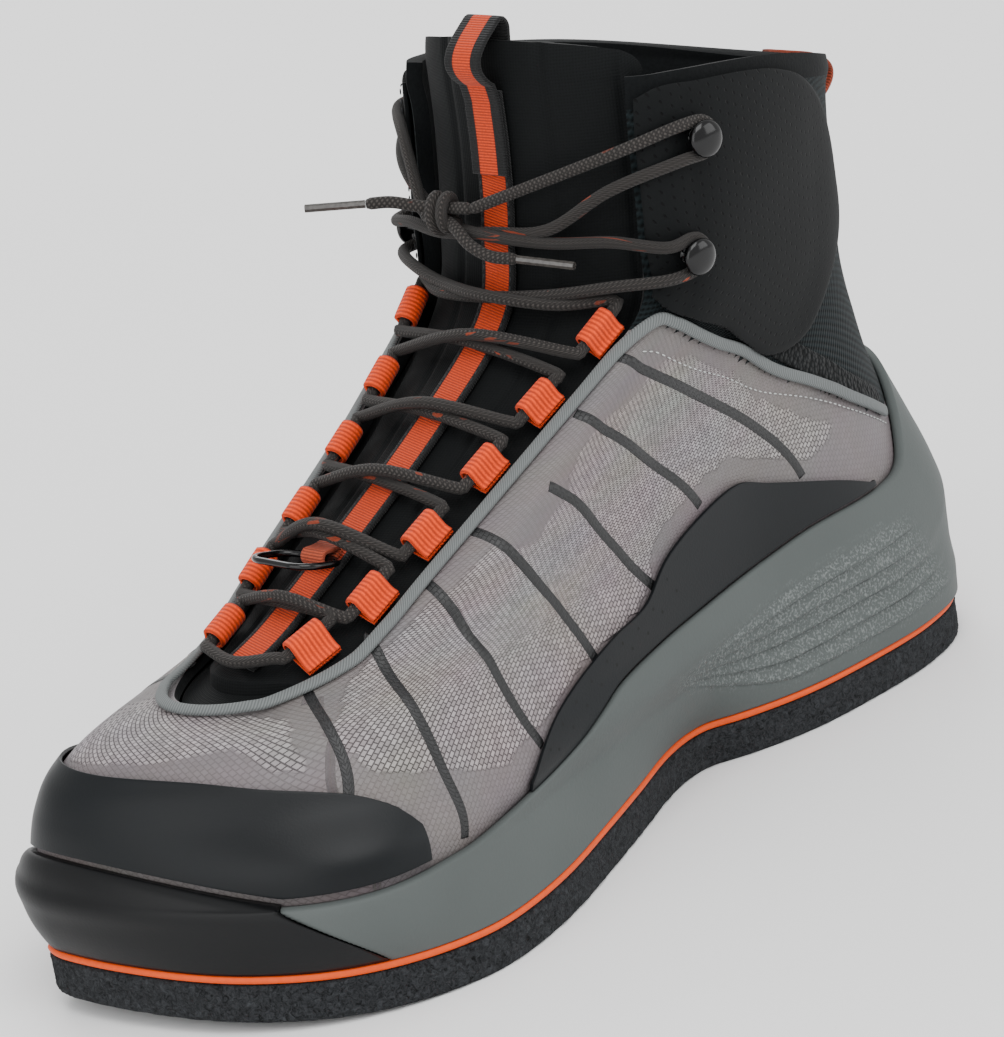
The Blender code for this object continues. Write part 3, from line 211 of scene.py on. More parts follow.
# Overlays. Columns: place between the heel (0) and the throat's edge or the toe (1),
# lower and upper level on the last.
ANKLE_PANEL = (
    (0.355, .700, .760), (0.375, .655, .845), (0.42, .603, .915),
    (0.50, .604, .962), (0.60, .645, .980), (0.71, .684, .985),
    (0.84, .712, .985), (0.94, .732, .985), (0.985, .748, .975),
)
# Columns: angle in degrees from the heel, upper level. The lower edge follows the midsole's rim.
SIDE_PANEL = (
    (47, .232), (53, .275), (60, .321), (67, .367), (74, .412),
    (80, .402), (86, .350), (90, .275), (96, .250), (102, .212),
    (107, .165), (111, .110), (113, .065),
)
# Columns: angle from the toe's tip in degrees, outer side positive, upper level.
TOE_CAP = (
    (-49, .110), (-47, .160), (-42, .212), (-32, .258), (-22, .290),
    (-8, .312), (10, .310), (22, .293), (32, .258), (42, .212),
    (47, .160), (49, .110),
)
# Columns: angle in degrees from the heel, level: the top of the quarter behind the throat.
QUARTER_TOP = (
    (136, .722), (128, .714), (116, .692), (102, .662), (88, .629),
    (75, .585), (62, .533), (53, .482), (46, .429), (39, .372),
    (34, .330),
)

print("sole", SOLE_LENGTH, "m long; collar", round(COLLAR_HEIGHT, 3), "m high")

# %% The last: rings read through smooth curves
def smooth_read(places, values, x):
    """Value at x on a smooth curve through the values at the places."""
    last = len(places) - 1
    i = 0
    while i < last - 1 and x > places[i + 1]:
        i += 1
    slopes = []
    for k in (i, i + 1):
        a, b = max(k - 1, 0), min(k + 1, last)
        slopes.append((values[b] - values[a]) / (places[b] - places[a]))
    span = places[i + 1] - places[i]
    u = min(max((x - places[i]) / span, 0.0), 1.0)
    rise = 3 * u * u - 2 * u ** 3
    bend = u * (1 - u) ** 2 * slopes[0] - u * u * (1 - u) * slopes[1]
    return values[i] * (1 - rise) + values[i + 1] * rise + span * bend


def solve(miss, low, high):
    """The x between low and high where miss(x), which rises through zero, is zero."""
    for _ in range(26):
        middle = (low + high) / 2
        if miss(middle) < 0:
            low = middle
        else:
            high = middle
    return (low + high) / 2


def swing(y):
    """Shift of the centre line toward the big toe at y."""
    start = HEEL_REACH - 0.775 * SOLE_LENGTH
    u = min(max((start - y) / (0.217 * SOLE_LENGTH), 0.0), 1.0)
    return -TOE_SWING * u ** 1.5


def spring(y):
    """Lift of the sole's underside at y, toward the toe."""
    start = HEEL_REACH - 0.775 * SOLE_LENGTH
    u = min(max((start - y) / (0.224 * SOLE_LENGTH), 0.0), 1.0)
    return TOE_SPRING * u * u


def full_widths(shares, stations):
    """Half widths as the radii of the ellipse that each would belong to."""
    return [w * BALL_WIDTH / (2 * math.sqrt(s * (1 - s))) for s, w in zip(stations, shares)]


STOPS = (0.0,) + STATIONS + (1.0,)
LEVELS = [k / (len(RINGS) - 1) for k in range(len(RINGS))]
UPPER_RISE = COLLAR_HEIGHT - FEATHER_HEIGHT
READINGS = []
for z_heel, z_front, back, front, outer_shares, inner_shares in RINGS:
    ends = [FEATHER_HEIGHT + z_heel * UPPER_RISE, FEATHER_HEIGHT + z_front * UPPER_RISE]
    ends += [HEEL_REACH - back * SOLE_LENGTH, HEEL_REACH - front * SOLE_LENGTH]
    sides = []
    for shares in (outer_shares, inner_shares):
        wide = full_widths(shares, STATIONS)
        sides += [wide[0]] + wide + [wide[-1]]
    READINGS.append(ends + sides)
READINGS = list(zip(*READINGS))
SIDE_COUNT = len(STOPS)


def last_point(phi, level):
    """Point of the last at angle phi, 0 at the heel and pi at the toe, outer side positive."""
    z_heel, z_front, y_heel, y_front = [smooth_read(LEVELS, row, level) for row in READINGS[:4]]
    first = 4 if phi >= 0 else 4 + SIDE_COUNT
    widths = [smooth_read(LEVELS, row, level) for row in READINGS[first:first + SIDE_COUNT]]
    share = (1 - cos(phi)) / 2
    y = y_heel + (y_front - y_heel) * share
    z = z_heel + (z_front - z_heel) * share
    z += COLLAR_ARCH * sin(pi * share) * max((level - 0.8) / 0.2, 0.0) ** 2
    x = smooth_read(STOPS, widths, share) * sin(abs(phi))
    return Vector((math.copysign(x, phi) + swing(y) * share, y, z))


def wrapped(phi):
    return (phi + pi) % (2 * pi) - pi


def last_normal(phi, level):
    step = 0.02
    along = last_point(wrapped(phi + step), level) - last_point(wrapped(phi - step), level)
    up = last_point(phi, min(level + step, 1.0)) - last_point(phi, max(level - step, 0.0))
    return up.cross(along).normalized()


def last_out(phi, level):
    """Level direction out of the last."""
    normal = last_normal(wrapped(phi), level)
    normal.z = 0
    return normal.normalized()


def on_last(phi, level, lift=0.0):
    """Point at a height of lift outside the last."""
    phi = wrapped(phi)
    return last_point(phi, level) + lift * last_normal(phi, level)


def locate(pick, wanted, phi, level):
    """Angle and level where the two picked coordinates of the last are the wanted ones."""
    step = 0.002
    for _ in range(30):
        here = last_point(wrapped(phi), level)
        by_phi = (last_point(wrapped(phi + step), level) - here) / step
        by_level = (last_point(wrapped(phi), level + step) - here) / step
        a, b, c, d = by_phi[pick[0]], by_level[pick[0]], by_phi[pick[1]], by_level[pick[1]]
        miss = (wanted[0] - here[pick[0]], wanted[1] - here[pick[1]])
        size = a * d - b * c
        phi += max(min((miss[0] * d - b * miss[1]) / size, 0.2), -0.2)
        level = min(max(level + max(min((a * miss[1] - c * miss[0]) / size, 0.1), -0.1), 0.0), 0.99)
    return phi, level


def on_top(x, y, lift=0.0):
    """Point of the instep over x and y, at a height of lift."""
    phi, level = locate((0, 1), (x, y), pi - 0.3, 0.55)
    return on_last(phi, level, lift)


def on_front(x, z, lift=0.0):
    """Point of the shaft's front at x and z, at a height of lift."""
    phi, level = locate((0, 2), (x, z), pi - 0.3, 0.82)
    return on_last(phi, level, lift)


def wall(level):
    """Thickness of the upper: thin on the foot, padded round the ankle."""
    u = min(max((level - 0.42) / 0.22, 0.0), 1.0)
    return FOOT_WALL + (ANKLE_WALL - FOOT_WALL) * u * u * (3 - 2 * u)


print("toe of the last:", [round(c, 4) for c in last_point(pi, 0.1)])

# %% Where the midsole's rim, the throat and the bumper run
SOLE_STOPS = [0.0] + [row[0] for row in SOLE_OUTLINE] + [1.0]
OUTER_SOLE = full_widths([row[1] for row in SOLE_OUTLINE], SOLE_STOPS[1:-1])
INNER_SOLE = full_widths([row[2] for row in SOLE_OUTLINE], SOLE_STOPS[1:-1])
OUTER_SOLE = OUTER_SOLE[:1] + OUTER_SOLE + OUTER_SOLE[-1:]
INNER_SOLE = INNER_SOLE[:1] + INNER_SOLE + INNER_SOLE[-1:]


def sole_point(phi, height):
    """Point of the sole's outline at a height above its sprung underside."""
    phi = wrapped(phi)
    share = (1 - cos(phi)) / 2
    y = HEEL_REACH - share * SOLE_LENGTH
    x = smooth_read(SOLE_STOPS, OUTER_SOLE if phi >= 0 else INNER_SOLE, share) * sin(phi)
    return Vector((x + swing(y) * share, y, height + spring(y)))


def sole_out(phi):
    """Level direction out of the sole at angle phi."""
    along = sole_point(phi + 0.03, 0) - sole_point(phi - 0.03, 0)
    along.z = 0
    return UP.cross(along).normalized()


RIM_PLACES = [row[0] for row in RIM]
RIM_SHARES = [row[1] for row in RIM]


def rim_height(y):
    share = (HEEL_REACH - y) / SOLE_LENGTH
    rise = smooth_read(RIM_PLACES, RIM_SHARES, min(max(share, 0.0), 1.0))
    return FEATHER_HEIGHT + rise * (COUNTER_HEIGHT - FEATHER_HEIGHT)


@lru_cache(None)
def rim_level(phi):
    """Level of the last where it leaves the midsole."""
    phi = wrapped(phi)

    def miss(level):
        point = last_point(phi, level)
        return point.z - rim_height(point.y)

    return solve(miss, 0.0, 0.5)


def rim_wall(phi):
    """Thickness of the midsole's edge, more where the bumper is let into it."""
    u = min(max((abs(wrapped(phi)) - 2.0) / 0.5, 0.0), 1.0)
    return MIDSOLE_WALL + (TOE_WALL - MIDSOLE_WALL) * u


LINE_BASE = FELT_THICKNESS + GAP
MIDSOLE_BASE = LINE_BASE + LINE_THICKNESS + GAP


def seam_angle(rise):
    """Angle of the bumper's slanting rear seam, at a share of the midsole's height."""
    return radians(138 + 12 * min(rise, 1.0))


def midsole_skin(phi, rise):
    """Side of the midsole at a share of its height: the sole's outline below, the last and a wall above."""
    low = sole_point(phi, MIDSOLE_BASE)
    top_level = rim_level(phi)
    top = last_point(wrapped(phi), top_level)
    height = low.z + (top.z - low.z) * rise
    level = solve(lambda t: last_point(wrapped(phi), t).z - height, 0.0, top_level)
    out = sole_out(phi).lerp(last_out(phi, level), rise)
    high = last_point(wrapped(phi), level) + last_out(phi, level) * rim_wall(phi)
    point = high.lerp(low, (1 - rise) ** MIDSOLE_FLARE)
    point.z = height
    return point + out * (MIDSOLE_BULGE * sin(pi * rise))


def lip_height(phi):
    """Height of the bumper's lip above the rim: none at its seams, most at the toe's tip."""
    span = pi - seam_angle(1.0)
    u = (pi - abs(wrapped(phi))) / span
    return BUMPER_LIP * cos(pi / 2 * min(max(u, 0.0), 1.0)) + 0.5 * MM


THROAT_PLACES = [row[0] for row in THROAT]
THROAT_WIDTHS = [row[1] * BALL_WIDTH for row in THROAT]


def throat_edge(level, side=1):
    """Angle of the throat's edge at a level."""
    half = smooth_read(THROAT_PLACES, THROAT_WIDTHS, max(level, THROAT_PLACES[0]))

    def miss(phi):
        point = last_point(side * phi, level)
        share = (1 - cos(phi)) / 2
        return half - side * (point.x - swing(point.y) * share)

    return solve(miss, radians(110), radians(179))


def through(points, parts):
    """Smooth curve through the points, with so many parts between each two."""
    places = list(range(len(points)))
    read = []
    for n in range((len(points) - 1) * parts + 1):
        read.append(Vector([smooth_read(places, [p[k] for p in points], n / parts) for k in range(3)]))
    return read


def evenly(points, spacing):
    """Points at an even spacing along a smooth curve through the given ones."""
    fine = through(points, 12)
    run = [0.0]
    for a, b in zip(fine, fine[1:]):
        run.append(run[-1] + (b - a).length)
    count = max(round(run[-1] / spacing), 2)
    read = []
    k = 0
    for n in range(count + 1):
        goal = run[-1] * n / count
        while k < len(run) - 2 and run[k + 1] < goal:
            k += 1
        read.append(fine[k].lerp(fine[k + 1], (goal - run[k]) / (run[k + 1] - run[k])))
    return read


print("rim of the midsole at the ball:", round(rim_height(-0.16), 4), "m")

# %% [markdown]
# Reading the last point by point is slow, and the fine meshes need some hundred thousand readings. So the
# last is read once into a table, and the meshes read the table through smooth cubic curves. A second
# table does the same for the side of the midsole.

# %% A skin: a table of points that is read smoothly
def past_toe(phi):
    """Angles past the toe, as angles of the other side."""
    return np.where(phi > pi, phi - 2 * pi, phi)


def cubic(t):
    """Weights of four neighbouring samples at t between the middle two."""
    return [(-t + 2 * t ** 2 - t ** 3) / 2, (2 - 5 * t ** 2 + 3 * t ** 3) / 2,
            (t + 4 * t ** 2 - 3 * t ** 3) / 2, (-t ** 2 + t ** 3) / 2]


def unit(rows):
    """Each row at a length of one."""
    return rows / np.linalg.norm(rows, axis=-1, keepdims=True)


class Skin:
    """Surface over an angle, all the way round, and a rise from 0 to 1."""

    def __init__(self, point, around, rises):
        self.table = np.array([[point(2 * pi * i / around - pi, j / (rises - 1)) for j in range(rises)]
                               for i in range(around)])

    def flat(self, phi, rise):
        around, rises = self.table.shape[:2]
        across = (np.asarray(phi, float) + pi) / (2 * pi) * around
        along = np.clip(np.asarray(rise, float), 0, 1) * (rises - 1)
        i, j = np.floor(across).astype(int), np.minimum(np.floor(along).astype(int), rises - 2)
        total = 0
        for a, wide in enumerate(cubic(across - i)):
            for b, high in enumerate(cubic(along - j)):
                total = total + (wide * high)[..., None] * self.table[(i + a - 1) % around,
                                                                      np.clip(j + b - 1, 0, rises - 1)]
        return total

    def normal(self, phi, rise):
        step = 0.015
        along = self.flat(phi + step, rise) - self.flat(phi - step, rise)
        up = self.flat(phi, np.minimum(rise + step, 1)) - self.flat(phi, np.maximum(rise - step, 0))
        return unit(np.cross(up, along))

    def at(self, phi, rise, lift=0.0):
        return self.flat(phi, rise) + self.normal(phi, rise) * np.asarray(lift)[..., None]


last = Skin(last_point, 144, 101)
print("last read into", last.table.shape, "points")

# %% [markdown]
# A short way to make a sheet is a flat grid from Blender's own operator, wrapped on a shape: each corner's
# place across and along the grid, from 0 to 1, is handed to a function that returns its point in space.
# The lengths along the wrapped grid become its UV map in millimetres, so a weave keeps its real size.

# %% Grids wrapped on a shape
def wrap(cells, shape, closed=False, keep=None):
    """Mesh of a grid of cells (across, along), its corners put where shape(across, along) says."""
    made = bmesh.new()
    bmesh.ops.create_grid(made, x_segments=cells[0], y_segments=cells[1], size=1)
    flat = np.array([corner.co[:2] for corner in made.verts]) / 2 + 0.5
    points = shape(flat[:, 0], flat[:, 1])
    order = np.lexsort((np.round(flat[:, 0], 6), np.round(flat[:, 1], 6)))
    rows = points[order].reshape(cells[1] + 1, cells[0] + 1, 3)
    wide = np.zeros(rows.shape[:2])
    high = np.zeros(rows.shape[:2])
    wide[:, 1:] = np.cumsum(np.linalg.norm(np.diff(rows, axis=1), axis=2), axis=1)
    wide -= wide[:, cells[0] // 2][:, None]
    high[1:] = np.cumsum(np.linalg.norm(np.diff(rows, axis=0), axis=2), axis=0)
    across = np.empty(len(order))
    along = np.empty(len(order))
    across[order] = wide.ravel() / MM
    along[order] = high.ravel() / MM
    corners = list(made.verts)
    cloth = made.loops.layers.uv.new("cloth")
    for face in made.faces:
        for loop in face.loops:
            k = loop.vert.index
            loop[cloth].uv = (across[k], along[k])
    for corner, point in zip(corners, points):
        corner.co = point
    if keep is not None:
        gone = [face for face in made.faces if not keep(*np.mean([flat[v.index] for v in face.verts], axis=0))]
        bmesh.ops.delete(made, geom=gone, context="FACES")
    if closed:
        bmesh.ops.remove_doubles(made, verts=made.verts, dist=0.004 * MM)
    return made


def close_ends(made):
    """Face over each open rim."""
    bmesh.ops.holes_fill(made, edges=[edge for edge in made.edges if edge.is_boundary], sides=0)
    return made


def piece(name, made, finish, body="boot", turn_out=True):
    """Object from a bmesh, smooth, with its material, riding on a body."""
    if turn_out:
        bmesh.ops.recalc_face_normals(made, faces=made.faces)
    mesh = bpy.data.meshes.new(name)
    made.to_mesh(mesh)
    made.free()
    mesh.shade_smooth()
    mesh.materials.append(finish)
    new = bpy.data.objects.new(name, mesh)
    to_scene(new)
    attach(new, body)
    return new


def thicken(new, thickness, round_edge=0.0, offset=-1.0):
    """Wall and softened edges for a sheet."""
    wall_step = new.modifiers.new("wall", "SOLIDIFY")
    wall_step.thickness = thickness
    wall_step.offset = offset
    wall_step.use_even_offset = False
    if round_edge:
        edge_step = new.modifiers.new("edge", "BEVEL")
        edge_step.width = round_edge
        edge_step.segments = 2
        edge_step.limit_method = "ANGLE"
        edge_step.angle_limit = radians(50)
    return new


def tube(points, radius, sides=12, spacing=0.5, closed=False):
    """Mesh of a round cord through points: its UV map holds turns round it and millimetres along it."""
    path = np.array([list(point) for point in evenly(points, spacing * 2 * radius)])
    count = len(path)
    along = np.gradient(path, axis=0)
    if closed:
        along[0] = along[-1] = path[1] - path[-2]
    along = unit(along)
    side = np.empty_like(path)
    side[0] = np.cross(along[0], (0.3, 0.2, 1))
    for k in range(1, count):
        side[k] = side[k - 1] - along[k] * side[k - 1].dot(along[k])
        side[k] /= np.linalg.norm(side[k])
    side[0] /= np.linalg.norm(side[0])
    up = np.cross(along, side)

    def shape(across, share):
        k = np.round(share * (count - 1)).astype(int)
        turn = across * 2 * pi
        round_it = np.ones(count)
        if not closed:
            round_it[0] = round_it[-1] = 0.75
        spoke = side[k] * np.cos(turn)[:, None] + up[k] * np.sin(turn)[:, None]
        return path[k] + spoke * (radius * round_it[k])[:, None]

    made = wrap((sides, count - 1), shape, closed=True)
    return made if closed else close_ends(made)


print("tools for grids and cords are ready")

# %% [markdown]
# Every finish is a Principled shader fed by a few procedural nodes. One function turns the sRGB hex
# colours to the linear ones that Blender works in, one starts a material, and one adds a node with its
# settings and links. Patterns read the "cloth" UV map in millimetres or the object's own coordinates.

# %% Colours, materials and nodes
def colour(code):
    """Linear colour from an sRGB hex code."""
    parts = [int(code[k:k + 2], 16) / 255 for k in (0, 2, 4)]
    return [c / 12.92 if c <= 0.04045 else ((c + 0.055) / 1.055) ** 2.4 for c in parts] + [1.0]


def start(name, code, roughness, **sockets):
    """New material, its node tree and its shader."""
    made = bpy.data.materials.new(name)
    made.use_nodes = True
    made.diffuse_color = colour(code)
    shader = made.node_tree.nodes["Principled BSDF"]
    shader.inputs["Base Color"].default_value = colour(code)
    shader.inputs["Roughness"].default_value = roughness
    for socket, value in sockets.items():
        shader.inputs[socket.replace("_", " ")].default_value = value
    return made, made.node_tree, shader


def add(tree, kind, settings=(), links=()):
    """Shader node of a kind, its inputs set to values or linked to a socket or a node's first output."""
    node = tree.nodes.new("ShaderNode" + kind)
    for setting, value in dict(settings).items():
        setattr(node, setting, value)
    for socket, value in dict(links).items():
        if isinstance(value, bpy.types.Node):
            value = value.outputs[0]
        if isinstance(value, bpy.types.NodeSocket):
            tree.links.new(value, node.inputs[socket])
        else:
            node.inputs[socket].default_value = value
    return node


def coat(tree, shader, shade, relief=None, strength=0.0, depth=0.0):
    """Colour of a finish, and bumps that follow a relief, depth in mm."""
    tree.links.new(shade, shader.inputs["Base Color"])
    if relief:
        bump = add(tree, "Bump", {}, {"Height": relief, "Strength": strength, "Distance": depth * MM})
        tree.links.new(bump.outputs[0], shader.inputs["Normal"])


def paint(tree, shader, pattern, low, high, relief=None, strength=0.0, depth=0.0, gloss=None):
    """Coat whose colour, and perhaps roughness, goes from low to high with a pattern."""
    shade = add(tree, "Mix", {"data_type": "RGBA"}, {"Factor": pattern, 6: colour(low), 7: colour(high)})
    coat(tree, shader, shade.outputs[2], relief, strength, depth)
    if gloss:
        rough = add(tree, "MapRange", {}, {"Value": pattern, "To Min": gloss[0], "To Max": gloss[1]})
        tree.links.new(rough.outputs[0], shader.inputs["Roughness"])


WAVE = 0.314  # a wave texture of scale 1 repeats every 0.314 units
print("sRGB 808080 is", round(colour("808080")[0], 3), "in linear light")

# %% [markdown]
# The lace is one braided polyester cord of 3.4 mm. It goes straight across the vamp, then crosses from
# loop to loop with one strand over and one under, round both hooks on each side and into the knot. The
# route is the rigid model's own, but here the strands stay apart where they cross. The cord is a grid
# wrapped round the route, so its braid can follow it.

# %% Lace: loops, hooks and the way between them
# Lace loops from the ankle down. Columns: level, then in lace diameters the distance of the middle
# from the throat's edge and the reach of the sewn tail toward it.
LACE_LOOPS = (
    (.705, 1.8, 1.38), (.652, 1.8, 1.38), (.608, 1.8, 1.38),
    (.566, 2.0, 1.58), (.519, 2.15, 1.68), (.464, 3.3, 2.1),
)
# Hooks. Columns: distance ahead of the sole's back and height, as shares of length and collar height.
HOOKS = (
    (0.360, .898), (0.386, .752),
)
# Lace from the upper end of the ankle's loop, round the lower hook across, and on to the knot.
# Columns: x toward the hook as a share of the ball width, height as a share of the collar's,
# height over the last in lace diameters. A row of zeros stands for a turn round the next hook.
LACE_TO_HOOKS = (
    (-.17, .698, 1.10), (0.00, .704, 1.30), (0.17, .712, 1.15),
    (0.30, .722, 1.35), (0, 0, 0), (0.30, .783, 1.35),
    (0.16, .783, 1.20), (0.00, .792, 1.00), (-.16, .800, 1.20),
    (-.30, .850, 1.45), (0, 0, 0), (-.30, .896, 1.45),
)
KNOT_PLACE = (-.10, .815, 2.7)

# Free ends of the lace from the knot. Columns: x and height from the knot's middle, distance ahead,
# all in lace diameters.
RIGHT_END = (
    (2.1, -1.0, 0.85), (3.6, -2.0, 1.2), (5.4, -2.9, 0.9), (7.6, -3.2, 0.2),
)
LEFT_END = (
    (-1.9, 0.8, 0.95), (-3.6, 1.4, 2.2), (-5.2, 1.5, 3.4),
)
LACE_BORE = LACE / 2 + LACE_GAP


def loop_frame(n, side):
    """Centre, lace direction, upward and outward direction of a lace loop, beside the throat's edge."""
    level, reach, _ = LACE_LOOPS[n]
    edge = on_last(side * throat_edge(level, side), level)
    up = last_normal(side * throat_edge(level, side), level)
    ahead = on_last(side * throat_edge(level + 0.02, side), level + 0.02)
    behind = on_last(side * throat_edge(level - 0.02, side), level - 0.02)
    along = (ahead - behind).normalized()
    along = (along - up * along.dot(up)).normalized()
    outward = along.cross(up)
    outward = outward if outward.x * side > 0 else -outward
    return edge - outward * reach * LACE + up * LOOP_RISE, along, up, outward


def hook_frame(n, side):
    """Foot of a hook on the ankle panel and the direction it stands in."""
    ahead, height = HOOKS[n]
    wanted = (HEEL_REACH - ahead * SOLE_LENGTH, height * COLLAR_HEIGHT)
    phi, level = locate((1, 2), wanted, side * radians(125), 0.85)
    foot = on_last(phi, level, OVERLAY_TOP + GAP)
    return foot, last_normal(wrapped(phi), level)


def loop_end(n, side, way):
    """Point where the lace leaves a loop, its upper end for way 1, and the direction it leaves in."""
    centre, along, _, outward = loop_frame(n, side)
    return centre + along * way * (LOOP_LENGTH / 2 + LACE_LEAD), along * way, outward


def strand(n, side, rise):
    """Lace from the upper end of loop n on one side to the lower end of the next loop up, across."""
    start, leave, outward = loop_end(n, side, 1)
    stop, arrive, inward = loop_end(n - 1, -side, -1)
    ease = 0.8 * LACE
    first = start + (leave - outward).normalized() * ease
    last = stop + (arrive - inward).normalized() * ease
    middle = (first + last) / 2
    over_tab = TAB_CLEARING if n == TAB_ROW else 0.0
    middle = on_top(middle.x, middle.y, (1.0 + rise + over_tab) * LACE)
    return [start, first, middle, last, stop]


def hook_turn(n, side):
    """Points round the rear of a hook's stem, from below it to above it."""
    foot, axis = hook_frame(n, side)
    centre = foot + axis * (HOOK_BASE_THICKNESS + 1.5 * LACE_GAP + LACE / 2)
    up = (UP - axis * axis.z).normalized()
    rear = axis.cross(up)
    rear = rear if rear.y > 0 else -rear
    radius = HOOK_STEM_RADIUS + 1.5 * LACE_GAP + LACE / 2
    points = []
    for degrees in (-90, -50, -15, 15, 50, 90):
        turn = radians(degrees)
        points.append(centre + (rear * cos(turn) + up * sin(turn)) * radius)
    clear = rear * (HOOK_BASE_RADIUS + LACE)
    return [points[0] - clear] + points + [points[-1] - clear]


def lace_to_hooks(side):
    """Lace from the loop at the ankle on the other side round the lower and the upper hook."""
    start, leave, outward = loop_end(0, -side, 1)
    points = [start, start + (leave - outward).normalized() * 0.8 * LACE]
    hooks = [(1, side), (0, -side)]
    for x, height, lift in LACE_TO_HOOKS:
        if x == 0 and lift:
            lift = (1.0, 2.1)[(side > 0) == (height > 0.75)]
        if lift:
            points.append(on_front(side * x * BALL_WIDTH, height * COLLAR_HEIGHT, lift * LACE))
        else:
            points += hook_turn(*hooks.pop(0))
    return points


def knot_frame():
    x, height, lift = KNOT_PLACE
    return on_front(x * BALL_WIDTH, height * COLLAR_HEIGHT, lift * LACE)


print("knot at", [round(c, 4) for c in knot_frame()])

# %% Lace: one cord from knot to knot
OVER = 1.2
UNDER = 0.08


def half_lace(side):
    """Points from the lowest loop of a side up to the knot."""
    points = []
    n = len(LACE_LOOPS) - 1
    here = side
    while n >= 0:
        points += [loop_end(n, here, -1)[0], loop_frame(n, here)[0], loop_end(n, here, 1)[0]]
        if n:
            points += strand(n, here, OVER if here < 0 else UNDER)[1:4]
        n -= 1
        here = -here
    return points + lace_to_hooks(side)[1:] + knot_entry(side)[:1]


def knot_entry(side):
    """Where the lace goes into the knot: from the left for side 1, from the right for side -1."""
    knot = knot_frame()
    return [knot + Vector((-side * 9.5, 1.6, -1.5 * side)) * MM, knot + Vector((-side * 6.5, 0.8, -1.8 * side)) * MM]


low_near, leave, outward = loop_end(len(LACE_LOOPS) - 1, 1, -1)
low_far, arrive, inward = loop_end(len(LACE_LOOPS) - 1, -1, -1)
first = low_near + (leave - outward).normalized() * 0.8 * LACE
final = low_far + (arrive - inward).normalized() * 0.8 * LACE
middle = on_top(*((first + final) / 2 - Vector((0, 0.5 * LACE, 0))).xy, LACE)
lace_route = half_lace(-1)[::-1] + [final, middle, first] + half_lace(1)
print("lace route:", len(lace_route), "points")

# %% [markdown]
# A braid is two sets of threads that wind round the cord in opposite directions. Two slanting wave
# patterns on the UV map give its grain, and stretched noise cells give the few orange threads.

# %% Finish: braided polyester lace
# Braided polyester cord: matt, with a fine diamond grain and orange tracer threads
braid, tree, shader = start("braided_polyester_cord", "322f2c", 0.8, Sheen_Weight=0.05, Specular_IOR_Level=0.2)
cloth = add(tree, "UVMap", {"uv_map": "cloth"})
grains = []
for slant in (38, -38):
    turned = add(tree, "Mapping", {}, {"Vector": cloth, "Rotation": (0, 0, radians(slant))})
    grains.append(add(tree, "TexWave", {"bands_direction": "Y"},
                      {"Vector": turned, "Scale": WAVE / 1.15, "Distortion": 0.6, "Detail Scale": 1.0}))
grain = add(tree, "Math", {"operation": "MULTIPLY"}, {0: grains[0].outputs["Fac"], 1: grains[1].outputs["Fac"]})
stretched = add(tree, "Mapping", {}, {"Vector": cloth, "Scale": (0.75, 0.33, 1),
                                                "Rotation": (0, 0, 0.5)})
threads = add(tree, "TexVoronoi", {}, {"Vector": stretched, "Scale": 1.0})
tracer = add(tree, "MapRange", {}, {"Value": threads.outputs["Color"], "From Min": 0.88, "From Max": 0.93})
dark = add(tree, "Mix", {"data_type": "RGBA"},
           {"Factor": grain, 6: colour("1d1b1a"), 7: colour("474340")})
both = add(tree, "Mix", {"data_type": "RGBA"},
           {"Factor": tracer, 6: dark.outputs[2], 7: colour("7d3420")})
coat(tree, shader, both.outputs[2], grain, 0.8, 0.3)
print("braid threads 1.15 mm wide")

# %% Lace: the run through the loops and hooks
lace = piece("lace_run", tube(lace_route, LACE / 2, sides=14, spacing=0.36), braid)
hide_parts("lace_bar", "lace_hooks", *["lace_crossing_%d" % n for n in range(1, len(LACE_LOOPS))])
print("lace run:", len(lace.data.polygons), "faces")

# %% [markdown]
# The knot is small and tight: both ends pass through it side by side, and the cord winds round them. The free ends
# are short. Each is a cord with its real length, from where it enters the knot to its clear plastic tip, the aglet,
# which the rigid model already has.

# %% Lace: the winding of the knot
knot = knot_frame()
winding = []
for k in range(41):
    turn = 2 * pi * (2.0 * k / 40) - 0.6
    tuck = 1 - 0.45 * max(abs(k / 20 - 1) * 3 - 2, 0)
    winding.append(knot + Vector(((k / 20 - 1) * 4.1 + 0.8 * sin(turn), 3.5 * tuck * cos(turn),
                                  4.9 * tuck * sin(turn))) * MM)
knot_piece = piece("knot_winding", tube(winding, LACE / 2, sides=14, spacing=0.3), braid)
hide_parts("lace_knot")


def cord_length(points):
    return sum((b - a).length for a, b in zip(points, points[1:]))


for name, rows, side in (("left", RIGHT_END, 1), ("right", LEFT_END, -1)):
    route = knot_entry(side) + [knot + Vector((0, 0, -1.7 * side)) * MM]
    route += [knot + Vector((x, -ahead, height)) * LACE for x, height, ahead in rows]
    route = evenly(route, 1.4 * MM)
    end = piece("lace_free_" + name, tube(route, LACE / 2, sides=14, spacing=0.36), braid)
    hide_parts("lace_end_" + name)
    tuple(route[0])
    cord_length(route)
    [list(point) for point in route]
    print("free end", name, round(cord_length(route) * 1000, 1), "mm")

# %% Finish: clear plastic of the aglets
# Clear cellulose film shrunk round the lace: glossy, the dark cord shows through it
tip_film, tree, shader = start("clear_aglet_film", "3a3836", 0.15, IOR=1.49)
place = add(tree, "TexCoord").outputs["Object"]
fibre = add(tree, "TexNoise", {}, {"Vector": place, "Scale": 900.0})
paint(tree, shader, fibre, "1c1a19", "55524f")
for name in ("aglet_left", "aglet_right"):
    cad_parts[name].data.materials[0] = tip_film
print("aglets finished in", tip_film.name)

# %% [markdown]
# The bottom is built in layers: a thick felt slab for grip on wet stones, a thin orange line of rubber,
# and a moulded foam midsole that cups the upper. Each is a stack of rings, one grid wrapped round the
# boot and closed by letting its first and last ring shrink to the middle.

